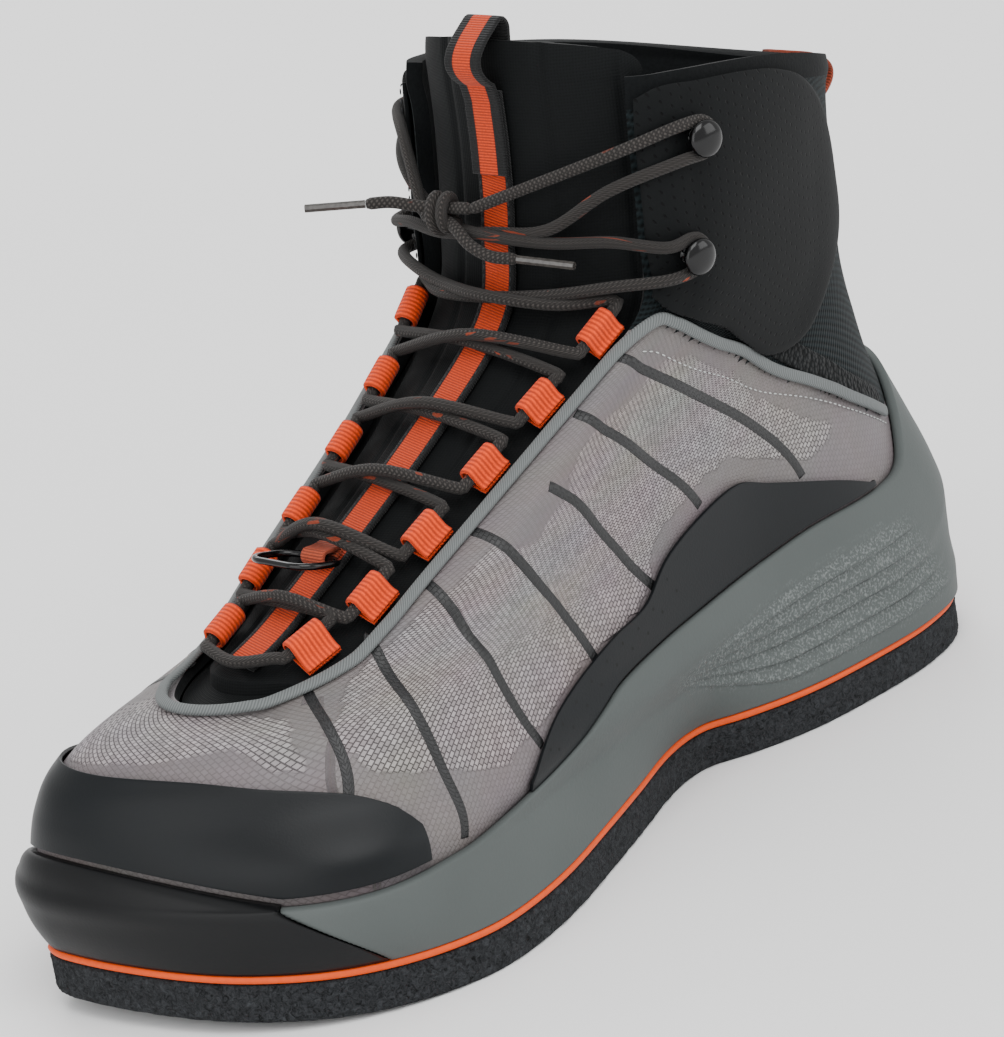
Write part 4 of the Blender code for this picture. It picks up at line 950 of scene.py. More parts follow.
# %% Bottom: helpers that read many angles at once
def curve(places, values):
    """Smooth curve through the values, read for many places at once."""
    dense = np.linspace(places[0], places[-1], 241)
    read = [smooth_read(places, values, x) for x in dense]
    return lambda x: np.interp(x, dense, read)


def column_curve(table, n):
    """Smooth curve through column n of a table over its first column."""
    return curve([row[0] for row in table], [row[n] for row in table])


def smoothstep(low, high, x):
    u = np.clip((x - low) / (high - low), 0, 1)
    return u * u * (3 - 2 * u)


def rings_body(columns, rows):
    """Grid through rings of points, seam at the toe. Each row is a function of the angles."""
    turn = np.linspace(-pi, pi, columns + 1)
    rings = np.array([row(turn) for row in rows])

    def shape(across, along):
        return rings[np.round(along * (len(rows) - 1)).astype(int), np.round(across * columns).astype(int)]

    return wrap((columns, len(rows) - 1), shape, closed=True)


def shrink(points, share):
    """Ring drawn in toward the boot's middle line."""
    middle = np.array([(swing(y) * (HEEL_REACH - y) / SOLE_LENGTH, 0, 0) for y in points[:, 1]])
    return points * (share, 1, 1) + middle * (1 - share)


edge_turns = np.linspace(-pi, pi, 361)
rim_read = [rim_level(phi) for phi in edge_turns]
sole_read = np.array([sole_point(phi, 0) for phi in edge_turns])
out_read = np.array([sole_out(phi) for phi in edge_turns])


def rim_at(phi, above=0.0):
    """Level where the last leaves the midsole, or a height above it."""
    level = np.interp(phi, edge_turns, rim_read)
    rise = (last.flat(phi, level + 0.02)[..., 2] - last.flat(phi, level)[..., 2]) / 0.02
    return level + above / rise


def sole_ring(phi, height, inset=0.0):
    base = np.array([np.interp(phi, edge_turns, sole_read[:, k]) for k in range(3)]).T
    out = np.array([np.interp(phi, edge_turns, out_read[:, k]) for k in range(3)]).T
    height, inset = [np.broadcast_to(value, phi.shape)[:, None] for value in (height, inset)]
    return base + (0, 0, 1) * height - out * inset


def fuller_heel(phi, rise):
    """The midsole's side, a little fuller at the heel's corners, where the photo's foam bulges."""
    near = math.exp(-((math.degrees(abs(phi)) - 28) / 30) ** 2)
    swell = 5.2 * MM * near * float(np.interp(rise, [0, .12, .3, .5, .75, 1], [.3, .75, 1, .95, .45, 0]))
    x, y, z = midsole_skin(phi, rise)
    return x + swell * sin(phi), y + swell * cos(phi), z


side_skin = Skin(fuller_heel, 120, 17)
print("side of the midsole read into", side_skin.table.shape, "points")

# %% Finish: pressed felt
# Needle-punched polyester felt: dark, matt, fuzzy, with paler fibre ends
felt_finish, tree, shader = start("needled_grey_felt", "121315", 0.95,
                                     Specular_IOR_Level=0.05, Sheen_Weight=0.03, Sheen_Roughness=0.6)
place = add(tree, "TexCoord").outputs["Object"]
fibres = add(tree, "TexNoise", {}, {"Vector": place, "Scale": 1 / (1.4 * MM), "Detail": 4.0,
                                              "Roughness": 0.75, "Distortion": 1.2})
tufts = add(tree, "TexNoise", {}, {"Vector": place, "Scale": 1 / (6 * MM), "Detail": 2.0})
tone = add(tree, "ValToRGB", {}, {"Fac": fibres})
tone.color_ramp.elements[0].position = 0.34
tone.color_ramp.elements[0].color = colour("0c0d0e")
tone.color_ramp.elements[1].position = 0.72
tone.color_ramp.elements[1].color = colour("3c3e41")
height = add(tree, "Math", {"operation": "ADD"}, {0: fibres, 1: tufts})
coat(tree, shader, tone.outputs[0], height, 1.0, 0.9)

# %% Bottom: felt outsole
rng = np.random.default_rng(5)


def felt_row(height, inset, rough=0.0):
    def row(phi):
        wobble = rough * (np.sin(phi * 83 + height * 9000) + np.sin(phi * 151 + 1.3 + height * 5000)) * 0.5
        wobble = wobble + rough * rng.normal(0, 0.5, len(phi))
        wobble[-1] = wobble[0]
        return sole_ring(phi, height, inset + wobble)
    return row


felt_rows = [lambda phi, s=s: shrink(sole_ring(phi, 0, FELT_EDGE), s) for s in (0, 0.5, 0.8)]
felt_rows += [felt_row(0, FELT_EDGE), felt_row(0.15 * FELT_EDGE, 0.5 * FELT_EDGE, 0.1 * MM),
              felt_row(0.5 * FELT_EDGE, 0.15 * FELT_EDGE, 0.15 * MM)]
felt_rows += [felt_row(h * MM, 0.0, 0.2 * MM) for h in np.linspace(1.2, 10.2, 12)]
felt_rows += [felt_row(10.75 * MM, 0.2 * MM, 0.1 * MM), felt_row(FELT_THICKNESS, 0.7 * MM)]
felt_rows += [lambda phi, s=s: shrink(sole_ring(phi, FELT_THICKNESS, 0.7 * MM), s) for s in (0.8, 0.5, 0)]
felt = piece("felt_outsole", rings_body(620, felt_rows), felt_finish)
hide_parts("outsole")
print("felt:", len(felt.data.polygons), "faces")

# %% Finish: orange rubber
# Moulded coloured rubber: satin, slightly rough from the mould
orange_rubber, tree, shader = start("moulded_orange_rubber", "d9561f", 0.5, IOR=1.52, Specular_IOR_Level=0.2)
place = add(tree, "TexCoord").outputs["Object"]
mould = add(tree, "TexNoise", {}, {"Vector": place, "Scale": 1 / (1.5 * MM), "Detail": 3.0})
paint(tree, shader, mould, "c8400c", "dc5010", mould, 0.4, 0.1)

# %% Bottom: orange line
line_rows = [lambda phi, s=s: shrink(sole_ring(phi, LINE_BASE, 0.5 * MM), s) for s in (0, 0.6)]
for height, inset in ((0, .5), (.25, .05), (.7, -.25), (1.1, -.35), (1.5, -.25), (1.95, .05), (2.2, .5)):
    line_rows.append(lambda phi, h=height, i=inset: sole_ring(phi, LINE_BASE + h * MM, i * MM))
line_rows += [lambda phi, s=s: shrink(sole_ring(phi, LINE_BASE + LINE_THICKNESS, 0.5 * MM), s) for s in (0.6, 0)]
line = piece("orange_line", rings_body(360, line_rows), orange_rubber)
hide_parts("midsole_line")
print("orange line:", len(line.data.polygons), "faces")

# %% Finish: moulded foam
# Compression-moulded EVA foam: matt grey skin with a fine pebbled speckle, and a painted shade line in the groove
# under each blade's edge
foam_finish, tree, shader = start("moulded_grey_foam", "494e4d", 0.58, IOR=1.45, Specular_IOR_Level=0.25)
place = add(tree, "TexCoord").outputs["Object"]
pebble = add(tree, "TexNoise", {}, {"Vector": place, "Scale": 1 / (1.1 * MM), "Detail": 3.0,
                                              "Roughness": 0.6})
cloud = add(tree, "TexNoise", {}, {"Vector": place, "Scale": 1 / (45 * MM), "Detail": 2.0})
rough_part = add(tree, "Attribute", {"attribute_name": "speckle"})
grit = add(tree, "TexNoise", {}, {"Vector": place, "Scale": 1 / (0.75 * MM), "Detail": 2.0})
spark = add(tree, "MapRange", {}, {"Value": grit, "From Min": 0.48, "From Max": 0.68})
groove_shade_attribute = add(tree, "Attribute", {"attribute_name": "blade_edge_shade"})
spots = add(tree, "Math", {"operation": "MULTIPLY"}, {0: spark, 1: rough_part.outputs["Fac"]})
shade = add(tree, "Mix", {"data_type": "RGBA"},
            {"Factor": cloud, 6: colour("444948"), 7: colour("4f5453")})
fleck = add(tree, "Mix", {"data_type": "RGBA"},
            {"Factor": spots, 6: shade.outputs[2], 7: colour("6d7271")})
height = add(tree, "Math", {"operation": "MULTIPLY_ADD"},
             {0: spots, 1: 2.0, 2: pebble})
# Painted shade: the colour is darkened along the groove under each blade's lower edge
edges = add(tree, "MapRange", {}, {"Value": groove_shade_attribute.outputs["Fac"], "From Min": 0.3, "To Min": 1.0, "To Max": 0.45})
shaded_by_grooves = add(tree, "Mix", {"data_type": "RGBA", "blend_type": "MULTIPLY"},
            {"Factor": 1.0, 6: fleck.outputs[2], 7: edges})
coat(tree, shader, shaded_by_grooves.outputs[2], height, 0.5, 0.18)

# %% Bottom: the blades on the heel's side
BLADE_FAN = (0.62, 66, 92)       # rise where the blades meet, and the angles between which they close up
BLADE_STEP = (0.12, 0.135)       # rise of the lowest blade's edge, and from one blade to the next


def blade_read(phi, rise):
    """Blade number and how far open the fan is, 0 to 1, for many points of the midsole's side."""
    degrees = np.degrees(np.abs(phi))
    opened = 1 - smoothstep(BLADE_FAN[1], BLADE_FAN[2], degrees)
    low = BLADE_FAN[0] + (rise - BLADE_FAN[0]) / np.maximum(opened, 0.08)
    return (low - BLADE_STEP[0] + 0.0012 * (degrees - 50)) / BLADE_STEP[1], opened


def blade_relief(phi, rise):
    """Height of the blades, which rise slowly and end in a sharp lower edge, where they lie, and where painted shade
    darkens the groove under their edges.
    """
    n, opened = blade_read(phi, rise)
    degrees = np.degrees(np.abs(phi))
    start = 32 + 2.2 * np.clip(n, 0, 5)
    inside = smoothstep(start, start + 7, degrees) * smoothstep(0.0, 0.3, opened)
    inside = inside * smoothstep(-0.1, 0.15, n) * (1 - smoothstep(BLADE_COUNT - 0.3, BLADE_COUNT, n))
    share = n - np.floor(n)
    blade = np.where(share < 0.14, share / 0.14, (1 - share) / 0.86)
    return (blade - 0.5) * inside * smoothstep(0.15, 0.5, opened), inside, inside * smoothstep(0.2, 0.0, share)


print("blades at two places:", np.round(blade_relief(np.radians([84.0, 66.0]), np.array([.22, .5]))[0], 2))

# %% Bottom: midsole
MIDSOLE_COLUMNS = 720
RECESS = BUMPER_WALL + 1.5 * GAP


def midsole_row(rise):
    def row(phi):
        rise_here = np.full(phi.shape, float(rise))
        seam = np.radians(138 + 12 * min(rise, 1.0))
        recess = RECESS * smoothstep(0.0, 0.012, np.abs(phi) - seam)
        return side_skin.at(phi, rise_here, -recess + blade_relief(phi, rise_here)[0] * 1.3 * MM)
    return row


def rim_row(share, hump):
    """Ring on the rounded rim, from the outside at 0 to the upper at 1."""
    def row(phi):
        outer = midsole_row(1.0)(phi)
        inner = last.at(phi, rim_at(phi), GAP)
        return outer * (1 - share) + inner * share + np.array((0, 0, hump))
    return row


def cup_row(share):
    return lambda phi: last.at(phi, rim_at(phi) * share, GAP)


def floor_row(phi):
    edge = last.flat(phi, np.zeros(phi.shape))
    return shrink(edge - (0, 0, GAP), 0.94)


midsole_rows = [lambda phi, s=s: shrink(midsole_row(0)(phi), s) for s in (0, 0.6)]
midsole_rows += [midsole_row(rise) for rise in np.linspace(0, 0.985, 66)]
midsole_rows += [rim_row(0.05, 0.2 * MM), rim_row(0.25, 0.45 * MM), rim_row(0.6, 0.45 * MM), rim_row(1.0, 0.0)]
midsole_rows += [cup_row(share) for share in (0.75, 0.5, 0.25, 0.0)]
midsole_rows += [floor_row, lambda phi: shrink(floor_row(phi), 0.6), lambda phi: shrink(floor_row(phi), 0.0)]
made = rings_body(MIDSOLE_COLUMNS, midsole_rows)
midsole = piece("foam_midsole", made, foam_finish)
grid_phi, grid_rise = np.meshgrid(np.linspace(-2, 2, 901), np.linspace(0.05, 0.95, 91))
_, ribbed, edge_shade_map = blade_relief(grid_phi.ravel(), grid_rise.ravel())
held = ribbed > 0.05
near = KDTree(int(held.sum()))
for k, spot in enumerate(side_skin.flat(grid_phi.ravel()[held], grid_rise.ravel()[held])):
    near.insert(spot, k)
near.balance()
found = [near.find(v.co)[1:] for v in midsole.data.vertices]
# The second map marks where painted shade darkens the groove under each blade's lower edge
for name, values in (("speckle", ribbed[held]), ("blade_edge_shade", edge_shade_map[held])):
    level_here = [values[k] if far < 2.5 * MM else 0.0 for k, far in found]
    midsole.data.attributes.new(name, "FLOAT", "POINT").data.foreach_set("value", level_here)
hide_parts("midsole")
print("midsole:", len(midsole.data.polygons), "faces")

# %% Finish: moulded black rubber
# Compression-moulded rubber: near black, satin, slightly grainy
black_rubber, tree, shader = start("moulded_black_rubber", "070809", 0.42, IOR=1.52, Specular_IOR_Level=0.2)
place = add(tree, "TexCoord").outputs["Object"]
grain = add(tree, "TexNoise", {}, {"Vector": place, "Scale": 1 / (0.9 * MM), "Detail": 3.0})
dust = add(tree, "TexNoise", {}, {"Vector": place, "Scale": 1 / (30 * MM), "Detail": 3.0})
paint(tree, shader, dust, "050607", "0c0d0f", grain, 0.35, 0.1, gloss=(0.36, 0.5))

# %% Bottom: toe bumper
BUMPER_ROWS = list(np.linspace(0, 1, 18)) + list(np.linspace(1.12, 2, 10))
BUMPER_START = 2 * GAP / (0.4 * SOLE_LENGTH)


def bumper_shape(across, along):
    """Outer face up, rolled lip, inner face down again."""
    count = len(BUMPER_ROWS)
    k = np.round(along * (2 * count - 1)).astype(int)
    inner = k >= count
    rise = np.array(BUMPER_ROWS)[np.where(inner, 2 * count - 1 - k, k)]
    first = np.radians(138 + 12 * np.minimum(rise, 1)) + BUMPER_START
    phi = first + across * 2 * (pi - first)
    phi = past_toe(phi)
    low = np.minimum(rise, 1)
    roll = 1.1 * MM * np.exp(-((rise - 1.0) / 0.22) ** 2) * np.sin(pi * across) ** 0.5
    skin_lift = np.where(inner, -BUMPER_WALL, LIP_SWELL * low ** 3 + roll)
    on_side = side_skin.at(phi, low, skin_lift)
    lip = np.array([lip_height(angle) for angle in phi])
    level = rim_at(phi, lip * np.maximum(rise - 1, 0))
    wide = MIDSOLE_WALL + (TOE_WALL - MIDSOLE_WALL) * np.clip((np.abs(phi) - 2.0) / 0.5, 0, 1)
    u = np.maximum(rise - 1, 0)
    out_lift = wide + LIP_SWELL + roll - 1.9 * MM * u ** 2 - 0.8 * MM * u ** 6
    in_lift = np.where(rise > 1.9, GAP, 1.2 * MM)
    on_lip = last.at(phi, level, np.where(inner, in_lift, out_lift))
    return np.where((rise > 1)[:, None], on_lip, on_side)


made = wrap((150, 2 * len(BUMPER_ROWS) - 1), bumper_shape)
bumper = piece("toe_bumper_rubber", close_ends(made), black_rubber)
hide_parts("toe_bumper")
print("bumper:", len(bumper.data.polygons), "faces")

# %% Finish: footbed cloth
# Napped polyester on foam: dark, matt, soft
footbed_cloth, tree, shader = start("napped_footbed_cloth", "1d1e20", 0.95, Sheen_Weight=0.06)
place = add(tree, "TexCoord").outputs["Object"]
nap = add(tree, "TexNoise", {}, {"Vector": place, "Scale": 1 / (1.2 * MM), "Detail": 3.0})
paint(tree, shader, nap, "151718", "252729", nap, 0.7, 0.3)

# %% Bottom: insole
reach = FOOT_WALL + SEAT_GAP + 6 * GAP


def footbed_row(share, height):
    def row(phi):
        level = np.full(phi.shape, height / (0.075 * UPPER_RISE) / (len(RINGS) - 1))
        out = last.normal(phi, level) * (1, 1, 0)
        point = last.flat(phi, level) - unit(out) * reach
        point[:, 2] = last.flat(phi, 0 * phi)[:, 2] + height
        return shrink(point, share)
    return row


bed_rows = [footbed_row(share, 0.0) for share in (0, 0.5, 0.96, 1)]
bed_rows += [footbed_row(1, 0.85 * INSOLE_THICKNESS), footbed_row(0.98, INSOLE_THICKNESS)]
bed_rows += [footbed_row(share, INSOLE_THICKNESS) for share in (0.8, 0.4, 0)]
insole = piece("cloth_insole", rings_body(120, bed_rows), footbed_cloth)
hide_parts("insole")
print("insole:", len(insole.data.polygons), "faces")

# %% [markdown]
# The upper is one hollow shell. Its outer face is a fine grid on the last, open along the throat, and a
# Solidify modifier gives it a real wall that is thicker round the padded ankle. Its colours follow maps
# that are worked out on the mesh: how far each point lies inside the raised weave, and where the rear knit
# starts, so no picture is needed.

# %% Upper: the throat's edges and the quarter's top
level_places = [0.44 + 0.56 * k / 24 for k in range(25)]
throat_left = curve(level_places, [throat_edge(level, 1) for level in level_places])
throat_right = curve(level_places, [throat_edge(level, -1) for level in level_places])
quarter_places = [radians(row[0]) for row in QUARTER_TOP[::-1]]
quarter_curve = curve(quarter_places, [row[1] for row in QUARTER_TOP[::-1]])


def throat_at(level, side):
    level = np.maximum(level, VAMP_LEVEL)
    return np.where(side > 0, throat_left(level), throat_right(level))


def trail(places, parts=16):
    """Smooth run of angles and levels through the given ones, in degrees, spaced by their distance."""
    places = np.array(places, float)
    steps = np.linalg.norm(np.diff(places * (0.01, 1), axis=0), axis=1)
    run = list(np.concatenate([[0], np.cumsum(steps)]))
    dense = np.linspace(0, run[-1], parts * len(steps) + 1)
    degrees, level = [[smooth_read(run, list(places[:, k]), x) for x in dense] for k in (0, 1)]
    return np.radians(degrees), np.array(level)


print("throat's edge at the ankle: %.0f degrees from the heel" % math.degrees(throat_at(np.array([0.7]), 1)[0]))

# %% Upper: where the raised weave lies
# Corners of the raised weave patches as (degrees from the heel, level), outer side
SIDE_PATCH = (
    (124, .675), (110, .662), (84, .596), (66, .504), (52, .404), (54, .375), (58, .362),
    (78, .483), (82, .471), (90, .433), (88, .321), (92, .25), (100, .238), (108, .167),
    (114, .146), (116, .129), (124, .183), (134, .242), (136, .283), (142, .404), (148, .45),
    (146, .512), (144, .562), (130, .542), (130, .583), (138, .617), (134, .638), (124, .642),
)
TOE_PATCH = (
    (196, .317), (200, .338), (210, .367), (202, .417), (178, .438), (160, .421), (150, .4), (146, .375),
    (142, .304), (142, .279), (146, .288), (150, .338), (154, .358), (158, .354), (166, .342), (176, .342),
)


def patch_depth(degrees, level, points, corners):
    """Distance in mm inside (positive) or outside the patch."""
    ring = np.array(corners + corners[:1], float)
    inside = np.zeros(len(degrees), bool)
    edge_points = []
    for (ax, ay), (bx, by) in zip(ring, ring[1:]):
        crosses = (ay > level) != (by > level)
        with np.errstate(divide="ignore", invalid="ignore"):
            inside ^= crosses & (degrees < (bx - ax) * (level - ay) / (by - ay) + ax)
        share = np.linspace(0, 1, 14)[:-1]
        edge_points += list(np.stack([ax + (bx - ax) * share, ay + (by - ay) * share], axis=1))
    edge_points = np.array(edge_points)
    edge_places = last.flat(wrapped(np.radians(edge_points[:, 0])), edge_points[:, 1])
    near_edge = np.full(len(degrees), 9.0)
    for spot in edge_places:
        near_edge = np.minimum(near_edge, np.linalg.norm(points - spot, axis=1) / MM)
    return np.where(inside, near_edge, -near_edge)


print(len(SIDE_PATCH), "corners on the side,", len(TOE_PATCH), "on the toe")

# %% Upper: the shell's grid
UPPER_SIDE = 120
UPPER_TOE = 70
FOOT_ROWS = 52
SHAFT_ROWS = 58
UPPER_COLUMNS = 2 * UPPER_SIDE + UPPER_TOE
UPPER_ROWS = FOOT_ROWS + SHAFT_ROWS
upper_levels = np.concatenate([np.linspace(0, VAMP_LEVEL, FOOT_ROWS + 1),
                               np.linspace(VAMP_LEVEL, 1, SHAFT_ROWS + 1)[1:]])


def upper_place(across, along):
    """Angle and level of the shell's corners."""
    k = across * UPPER_COLUMNS
    side = np.where(k <= UPPER_COLUMNS / 2, 1, -1)
    k = np.minimum(k, UPPER_COLUMNS - k)
    level = upper_levels[np.round(along * UPPER_ROWS).astype(int)]
    edge = throat_at(level, side)
    u = np.clip((k - UPPER_SIDE) / (UPPER_TOE / 2), 0, 1)
    phi = np.where(k <= UPPER_SIDE, edge * k / UPPER_SIDE, edge + (pi - edge) * u)
    level = level - VAMP_DIP * np.sqrt(1 - (1 - u) ** 4) * np.minimum(level / VAMP_LEVEL, 1) ** 3
    return side * phi, level


# Soft creases: (degrees, level) from and to, width in mm, height in mm
CREASES = (
    ((150, .40), (172, .43), 7, -.8),
    ((138, .50), (120, .42), 8, -.7),
    ((128, .47), (112, .39), 8, .6),
    ((112, .60), (90, .50), 9, -.6),
    ((60, .50), (44, .43), 8, -.6),
    ((30, .62), (8, .60), 9, -.9),
    ((28, .48), (5, .46), 9, -.7),
)


def crease_lift(points):
    """Height of the soft troughs and ridges, in metres."""
    lift = np.zeros(len(points))
    for start_at, stop_at, width, height in CREASES:
        for side in (1, -1):
            ends = [last.flat(np.array([radians(side * d)]), np.array([l]))[0] for d, l in (start_at, stop_at)]
            run = ends[1] - ends[0]
            share = np.clip((points - ends[0]) @ run / run.dot(run), 0, 1)
            off = np.linalg.norm(points - ends[0] - share[:, None] * run, axis=1) / (width * MM)
            lift += height * MM * np.exp(-off ** 2) * np.sin(pi * np.clip(share * 0.9 + 0.05, 0, 1))
    return lift


def upper_shape(across, along):
    phi, level = upper_place(across, along)
    points = last.flat(phi, level)
    lift = -SEAT_GAP * (1 - smoothstep(-0.02, 0.0, level - rim_at(phi))) + crease_lift(points)
    lift = lift + 0.9 * MM * np.exp(-((level - 0.975) / 0.02) ** 2)
    points = last.at(phi, level, lift)
    points[:, 2] += np.where(along == 0, 2 * GAP, 0)
    return points


def upper_kept(across, along):
    k = min(across, 1 - across) * UPPER_COLUMNS
    return k < UPPER_SIDE or along * UPPER_ROWS < FOOT_ROWS


made = wrap((UPPER_COLUMNS, UPPER_ROWS), upper_shape, closed=True, keep=upper_kept)
print("upper grid:", len(made.faces), "faces")

# %% Finish: coated textile with raised weave
# Woven nylon under a thin grey film; in the patches the bare weave stands up as pale pads over dark gaps.
# The real threads are about 0.7 mm; the pads are drawn 2 mm wide, as the photograph shows them
textile, tree, shader = start("film_coated_woven_nylon", "6c6667", 0.5, IOR=1.5, Specular_IOR_Level=0.3)
cloth = add(tree, "UVMap", {"uv_map": "cloth"})
turned = add(tree, "Mapping", {}, {"Vector": cloth, "Rotation": (0, 0, radians(38))})
pads = add(tree, "TexBrick", {"offset": 0.5},
           {"Vector": turned, "Color1": colour("9e9797"), "Color2": colour("817a7a"), "Mortar": colour("454041"),
            "Scale": 1.0, "Mortar Size": 0.24, "Mortar Smooth": 0.9, "Brick Width": 1.9, "Row Height": 1.35})
faint = add(tree, "TexBrick", {"offset": 0.5},
            {"Vector": turned, "Color1": colour("716b6c"), "Color2": colour("6b6565"), "Mortar": colour("605a5a"),
             "Scale": 1.0, "Mortar Size": 0.3, "Mortar Smooth": 1.0, "Brick Width": 1.9, "Row Height": 1.35})
patch = add(tree, "Attribute", {"attribute_name": "patch"})
inside = add(tree, "MapRange", {}, {"Value": patch.outputs["Fac"], "From Min": -0.4, "From Max": 0.6})
shade = add(tree, "Mix", {"data_type": "RGBA"},
            {"Factor": inside, 6: faint.outputs["Color"], 7: pads.outputs["Color"]})
stain = add(tree, "TexNoise", {}, {"Vector": cloth, "Scale": 0.03, "Detail": 3.0})
worn = add(tree, "Mix", {"data_type": "RGBA", "blend_type": "MULTIPLY"},
           {"Factor": 0.25, 6: shade.outputs[2], 7: stain.outputs["Color"]})
low = add(tree, "Math", {"operation": "MULTIPLY"}, {0: inside, 1: 0.8})
deep = add(tree, "Math", {"operation": "ADD"}, {0: low, 1: 0.2})
flat = add(tree, "Math", {"operation": "SUBTRACT"}, {0: 1.0, 1: pads.outputs["Fac"]})
height = add(tree, "Math", {"operation": "MULTIPLY"}, {0: flat, 1: deep})
raised = add(tree, "Math", {"operation": "ADD"}, {0: height, 1: inside})
gloss = add(tree, "MapRange", {}, {"Value": inside, "To Min": 0.46, "To Max": 0.6})
coat(tree, shader, worn.outputs[2], raised, 0.8, 0.35)
tree.links.new(gloss.outputs[0], shader.inputs["Roughness"])

# %% Finish: ribbed rear knit
# Warp-knitted polyester: near black with fine slanting ribs and small holes
knit, tree, shader = start("ribbed_polyester_knit", "0c1012", 0.8, Sheen_Weight=0.04, Specular_IOR_Level=0.1)
cloth = add(tree, "UVMap", {"uv_map": "cloth"})
turned = add(tree, "Mapping", {}, {"Vector": cloth, "Rotation": (0, 0, radians(-32))})
ribs = add(tree, "TexWave", {"bands_direction": "Y"}, {"Vector": turned, "Scale": WAVE / 2.0})
holes = add(tree, "TexWave", {"bands_direction": "X"}, {"Vector": turned, "Scale": WAVE / 1.4})
mesh_grain = add(tree, "Math", {"operation": "MULTIPLY_ADD"},
                 {0: holes.outputs["Fac"], 1: 0.5, 2: ribs.outputs["Fac"]})
paint(tree, shader, mesh_grain, "040505", "171e20", mesh_grain, 0.8, 0.4)

# %% Finish: padded lining
# Brushed polyester over foam: black, soft and matt
lining, tree, shader = start("brushed_black_lining", "0a0b0c", 0.9, Sheen_Weight=0.04,
                             Sheen_Roughness=0.5, Specular_IOR_Level=0.08)
place = add(tree, "TexCoord").outputs["Object"]
nap = add(tree, "TexNoise", {}, {"Vector": place, "Scale": 1 / (1.0 * MM), "Detail": 3.0})
paint(tree, shader, nap, "060708", "121415", nap, 0.5, 0.3)

# %% Upper: maps, knit and wall
def nearest_place(points):
    """Angle and level of the last nearest to each point."""
    turns = np.linspace(-pi, pi, 241)[:-1]
    levels = np.linspace(0, 1, 121)
    grid_phi, grid_level = np.meshgrid(turns, levels)
    spots = last.flat(grid_phi.ravel(), grid_level.ravel())
    tree_of_spots = KDTree(len(spots))
    for k, spot in enumerate(spots):
        tree_of_spots.insert(spot, k)
    tree_of_spots.balance()
    found = np.array([tree_of_spots.find(point)[1] for point in points])
    return grid_phi.ravel()[found], grid_level.ravel()[found]


upper = piece("boot_upper", made, textile)
for finish_name in (knit, lining, lining):
    upper.data.materials.append(finish_name)
corner_places = np.array([v.co for v in upper.data.vertices])
phi, level = nearest_place(corner_places)
depth = np.maximum(patch_depth(np.degrees(np.abs(phi)), level, corner_places, SIDE_PATCH), -9)
inner = phi < 0
depth[inner] = patch_depth(-np.degrees(phi[inner]), level[inner], last.flat(-phi[inner], level[inner]), SIDE_PATCH)
depth = np.maximum(depth, patch_depth(np.degrees(phi) % 360, level, corner_places, TOE_PATCH))
# The weave runs straight over the side and over the toe, so the UV map's first number follows the boot
split = np.interp(level, [.2, .31, .354, .392, .425, .45], [138, 138, 140, 144, 150, 156])
on_toe = (np.degrees(np.abs(phi)) > split) & (level < 0.47)
cloth = upper.data.uv_layers["cloth"].data
flat_uv = np.empty(2 * len(cloth))
cloth.foreach_get("uv", flat_uv)
flat_uv = flat_uv.reshape(-1, 2)
loop_corner = np.empty(len(cloth), int)
upper.data.loops.foreach_get("vertex_index", loop_corner)
along_boot = np.where(on_toe, corner_places[:, 0], -corner_places[:, 1]) / MM
flat_uv[:, 0] = along_boot[loop_corner]
cloth.foreach_set("uv", flat_uv.ravel())
upper.data.attributes.new("patch", "FLOAT", "POINT").data.foreach_set("value", depth)
above = level > np.where(np.abs(phi) < quarter_places[0], QUARTER_TOP[-1][1], quarter_curve(np.abs(phi))) - 0.006
LINING_LEVEL = 0.955  # from here up the collar is turned over in lining
for face in upper.data.polygons:
    corner = face.vertices[0]
    face.material_index = 2 if level[corner] >= LINING_LEVEL else int(above[corner])
padding = upper.vertex_groups.new(name="padding")
for k, height in enumerate(level):
    padding.add([k], wall(height) / ANKLE_WALL, "REPLACE")
thicken(upper, ANKLE_WALL, 0.9 * MM)
upper.modifiers["wall"].vertex_group = "padding"
upper.modifiers["wall"].material_offset = 2
upper.modifiers["wall"].material_offset_rim = 2
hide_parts("upper")
print("upper:", len(upper.data.polygons), "faces;", int((depth > 0).sum()), "corners in the weave")

# %% [markdown]
# Bands such as the binding, the printed lines and the pull loops are a flat rounded section swept along a
# path on the boot. The section's middle is the middle of its UV map, so edges can have their own colour.

# %% Bands swept along the boot
def strap(path, ups, section, cells=16):
    """Mesh of a band. section(turn) gives how far each corner stands to the side and up."""
    path = np.array([list(p) for p in path])
    ups = np.array([list(u) for u in ups])
    along = np.gradient(path, axis=0)
    side = unit(np.cross(along, ups))
    up = unit(np.cross(side, along))

    def shape(across, share):
        k = np.round(share * (len(path) - 1)).astype(int)
        aside, high = section(across * 2 * pi - pi / 2)
        return path[k] + side[k] * aside[:, None] + up[k] * high[:, None]

    return close_ends(wrap((cells, len(path) - 1), shape, closed=True))


def flat_section(width, low, high, power=0.45):
    """Flat section with rounded edges."""
    def section(turn):
        aside = np.sign(np.cos(turn)) * np.abs(np.cos(turn)) ** power * width / 2
        high_part = np.sign(np.sin(turn)) * np.abs(np.sin(turn)) ** power
        return aside, (low + high) / 2 + high_part * (high - low) / 2
    return section


def on_trail(places, lift=0.0):
    """Path and up directions on the last through (degrees, level) places."""
    phi, level = trail(places)
    return last.at(phi, level, lift), last.normal(phi, level)


print("bands are ready")

